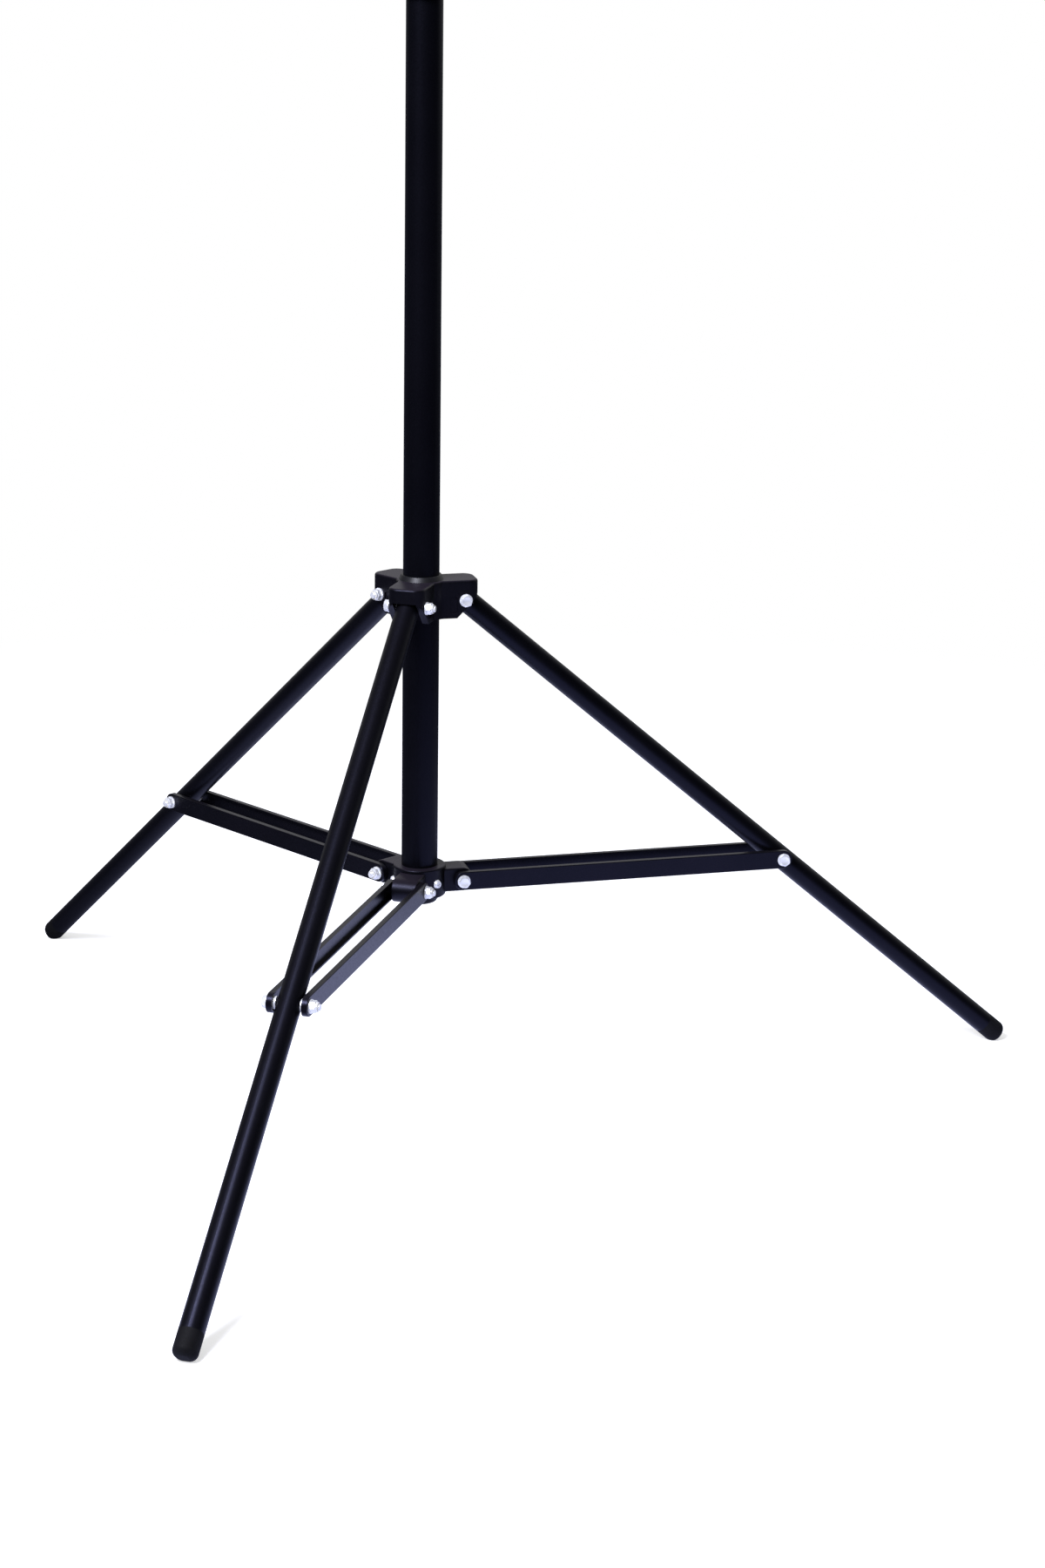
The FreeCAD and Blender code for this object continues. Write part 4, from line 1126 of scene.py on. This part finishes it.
class Studio:
    """A pale floor, a pale world, a soft key lamp and the camera."""

    KEY_LAMP = Lamp("key_box", (-0.6, -1.95, 2.6), (0.0, -0.3, 0.1), (1.2, 1.2), 150.0, "#eceeff")
    FLOOR_WIDTH = 60.0
    FLOOR_DROP = 0.4 * MM  # keeps the floor clear of the feet
    FLOOR_GLOW = 0.5  # lifts the floor to white without putting more light on the stand
    SHADOW_FADE = (1.1, 2.0)  # distances between which the floor turns plain white
    PATCH_MIDDLE = (0.35, -0.1, 0.0)  # the brightest place of the floor in reflections
    PATCH_FADE = (0.4, 1.1)  # distances from it between which its light falls
    PATCH_LIGHT = (1.75, 0.12)
    WORLD_FILL = 0.45
    ROOM_REACH = (0.0, 0.95)  # how far towards the back a reflection looks, from 0 to 1
    ROOM_LIGHT = (0.015, 0.6)  # the room's light in reflections, from the front to the back

    def make(self) -> None:
        """Builds the studio."""
        self._floor()
        self._world()
        self.KEY_LAMP.make()
        StudioCamera().make()
        bpy.context.scene.view_settings.view_transform = "Standard"
        log.info("studio")

    @staticmethod
    def _blend(
        tree: Tree, value: Socket, reach: Tuple[float, float], levels: Tuple[float, float]
    ) -> Socket:
        """A smooth step from one level to another as a value passes through a reach.

        Args:
            tree: the node tree.
            value: the value.
            reach: where the step starts and ends.
            levels: the levels before and after it.

        Returns:
            The level.
        """
        inputs = {
            "Value": value,
            "From Min": reach[0],
            "From Max": reach[1],
            "To Min": levels[0],
            "To Max": levels[1],
        }
        step = add_node(tree, "ShaderNodeMapRange", inputs, interpolation_type="SMOOTHSTEP")
        return step.outputs[0]

    def _floor(self) -> None:
        """A wide pale floor: it keeps the stand's shadow, and turns plain white farther out.

        Reflections see a bright patch of it under the stand instead, as a lit floor gives.
        """
        clear_selection()
        bpy.ops.mesh.primitive_plane_add(
            size=self.FLOOR_WIDTH, location=(0.0, 0.0, -self.FLOOR_DROP)
        )
        floor = start_piece("studio_floor")
        material = bpy.data.materials.new("Studio_PaleFloor")
        material.use_nodes = True
        tree = material.node_tree
        tree.nodes.clear()
        place = add_node(tree, "ShaderNodeTexCoord").outputs["Object"]
        path = add_node(tree, "ShaderNodeLightPath")
        away = add_node(
            tree, "ShaderNodeVectorMath", {0: place}, operation="LENGTH"
        ).outputs["Value"]
        diffuse = add_node(tree, "ShaderNodeBsdfDiffuse", {"Color": linear("#f2f2f4")})
        lift = add_node(
            tree,
            "ShaderNodeMath",
            {0: path.outputs["Is Camera Ray"], 1: self.FLOOR_GLOW},
            operation="MULTIPLY",
        )
        glow = add_node(
            tree, "ShaderNodeEmission", {"Color": linear("#ffffff"), "Strength": lift.outputs[0]}
        )
        near = add_node(tree, "ShaderNodeAddShader", {0: diffuse.outputs[0], 1: glow.outputs[0]})
        far = add_node(
            tree,
            "ShaderNodeEmission",
            {"Color": linear("#ffffff"), "Strength": path.outputs["Is Camera Ray"]},
        )
        seen = add_node(
            tree,
            "ShaderNodeMixShader",
            {
                0: self._blend(tree, away, self.SHADOW_FADE, (0.0, 1.0)),
                1: near.outputs[0],
                2: far.outputs[0],
            },
        )
        from_patch = add_node(
            tree, "ShaderNodeVectorMath", {0: place, 1: self.PATCH_MIDDLE}, operation="DISTANCE"
        ).outputs["Value"]
        mirrored = add_node(
            tree,
            "ShaderNodeEmission",
            {
                "Color": linear("#c9cfff"),
                "Strength": self._blend(tree, from_patch, self.PATCH_FADE, self.PATCH_LIGHT),
            },
        )
        both = add_node(
            tree,
            "ShaderNodeMixShader",
            {0: path.outputs["Is Glossy Ray"], 1: seen.outputs[0], 2: mirrored.outputs[0]},
        )
        add_node(tree, "ShaderNodeOutputMaterial", {"Surface": both.outputs[0]})
        floor.data.materials.append(material)

    def _world(self) -> None:
        """White where it is seen, plain fill on surfaces, and a room for reflections.

        The room is pale behind the stand and dark in front of it.
        """
        world = bpy.data.worlds.new("studio_world")
        world.use_nodes = True
        tree = world.node_tree
        tree.nodes.clear()
        path = add_node(tree, "ShaderNodeLightPath")
        way = add_node(tree, "ShaderNodeTexCoord").outputs["Generated"]
        back = add_node(tree, "ShaderNodeSeparateXYZ", {"Vector": way}).outputs["Y"]
        room = self._blend(tree, back, self.ROOM_REACH, self.ROOM_LIGHT)
        fill = add_node(
            tree,
            "ShaderNodeMix",
            {0: path.outputs["Is Glossy Ray"], 2: self.WORLD_FILL, 3: room},
            data_type="FLOAT",
        ).outputs[0]
        seen = add_node(
            tree,
            "ShaderNodeMath",
            {0: path.outputs["Is Camera Ray"], 1: path.outputs["Is Transmission Ray"]},
            operation="ADD",
            use_clamp=True,
        ).outputs[0]
        strength = add_node(
            tree, "ShaderNodeMix", {0: seen, 2: fill, 3: 1.0}, data_type="FLOAT"
        ).outputs[0]
        light = add_node(
            tree, "ShaderNodeBackground", {"Color": linear("#ffffff"), "Strength": strength}
        )
        add_node(tree, "ShaderNodeOutputWorld", {"Surface": light.outputs[0]})
        bpy.context.scene.world = world


# ---------------------------------------------------------------- the stand
class Stand:
    """The stand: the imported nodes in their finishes, and the pieces modelled round them."""

    PIVOT_RADIUS = 40.0 * MM  # distance of the yoke's and the hub's pivots from the pole's axis
    YOKE_GRIP = 18.0 * MM  # half the width across the yoke's cheeks
    HUB_GRIP = 19.3 * MM  # half the width across a pair of braces at the hub
    BRACE_GRIP = 19.0 * MM  # half the width across a pair of braces at the leg
    BRACE_SPLIT = 11.3 * MM  # half the gap that the brace bolt leaves for the leg
    HUB_TURNED = 22.0  # how the first hub bolt and the first brace bolt stand, in degrees
    BRACE_TURNED = 41.0

    def __init__(self) -> None:
        """Starts with an empty wardrobe."""
        self.wardrobe = Wardrobe()

    def make(self) -> None:
        """Builds everything in order."""
        self.wardrobe.dress_nodes()
        self._fasteners()
        self._clamps()
        SplitRing().make(self.wardrobe)

    def _fasteners(self) -> None:
        """The nine bolts, each with its lock ring."""
        brace = middle("brace_bolt_front")
        brace_radius = brace.dot(Leg.FRONT.outward)
        for fasteners in (
            CrossFasteners(
                label="yoke",
                bolt=CrossBolt(self.YOKE_GRIP),
                radius=self.PIVOT_RADIUS,
                height=middle("leg_bolts").z,
                turned=0.0,
                bodies=dict.fromkeys(Leg, "yoke"),
                nodes=dict.fromkeys(Leg, "leg_bolts"),
            ),
            CrossFasteners(
                label="hub",
                bolt=CrossBolt(self.HUB_GRIP),
                radius=self.PIVOT_RADIUS,
                height=middle("hub_bolts").z,
                turned=self.HUB_TURNED,
                bodies=dict.fromkeys(Leg, "pole"),
                nodes=dict.fromkeys(Leg, "hub_bolts"),
            ),
            CrossFasteners(
                label="brace",
                bolt=CrossBolt(self.BRACE_GRIP, split=self.BRACE_SPLIT),
                radius=brace_radius,
                height=brace.z,
                turned=self.BRACE_TURNED,
                bodies={leg: "brace_" + leg.label for leg in Leg},
                nodes={leg: "brace_bolt_" + leg.label for leg in Leg},
            ),
        ):
            fasteners.make(self.wardrobe)

    def _clamps(self) -> None:
        """The studs and knob caps of both clamps."""
        for clamp in ("yoke", "collar"):
            ClampStud(clamp, clamp + "_knob").make(self.wardrobe)
            KnobCap(clamp, clamp + "_knob").make(self.wardrobe)


def main() -> None:
    """Builds the stand and its studio."""
    logging.basicConfig(level=logging.INFO, format="%(name)s: %(message)s")
    Stand().make()
    Studio().make()
    clear_selection()


if __name__ == "__main__":
    main()
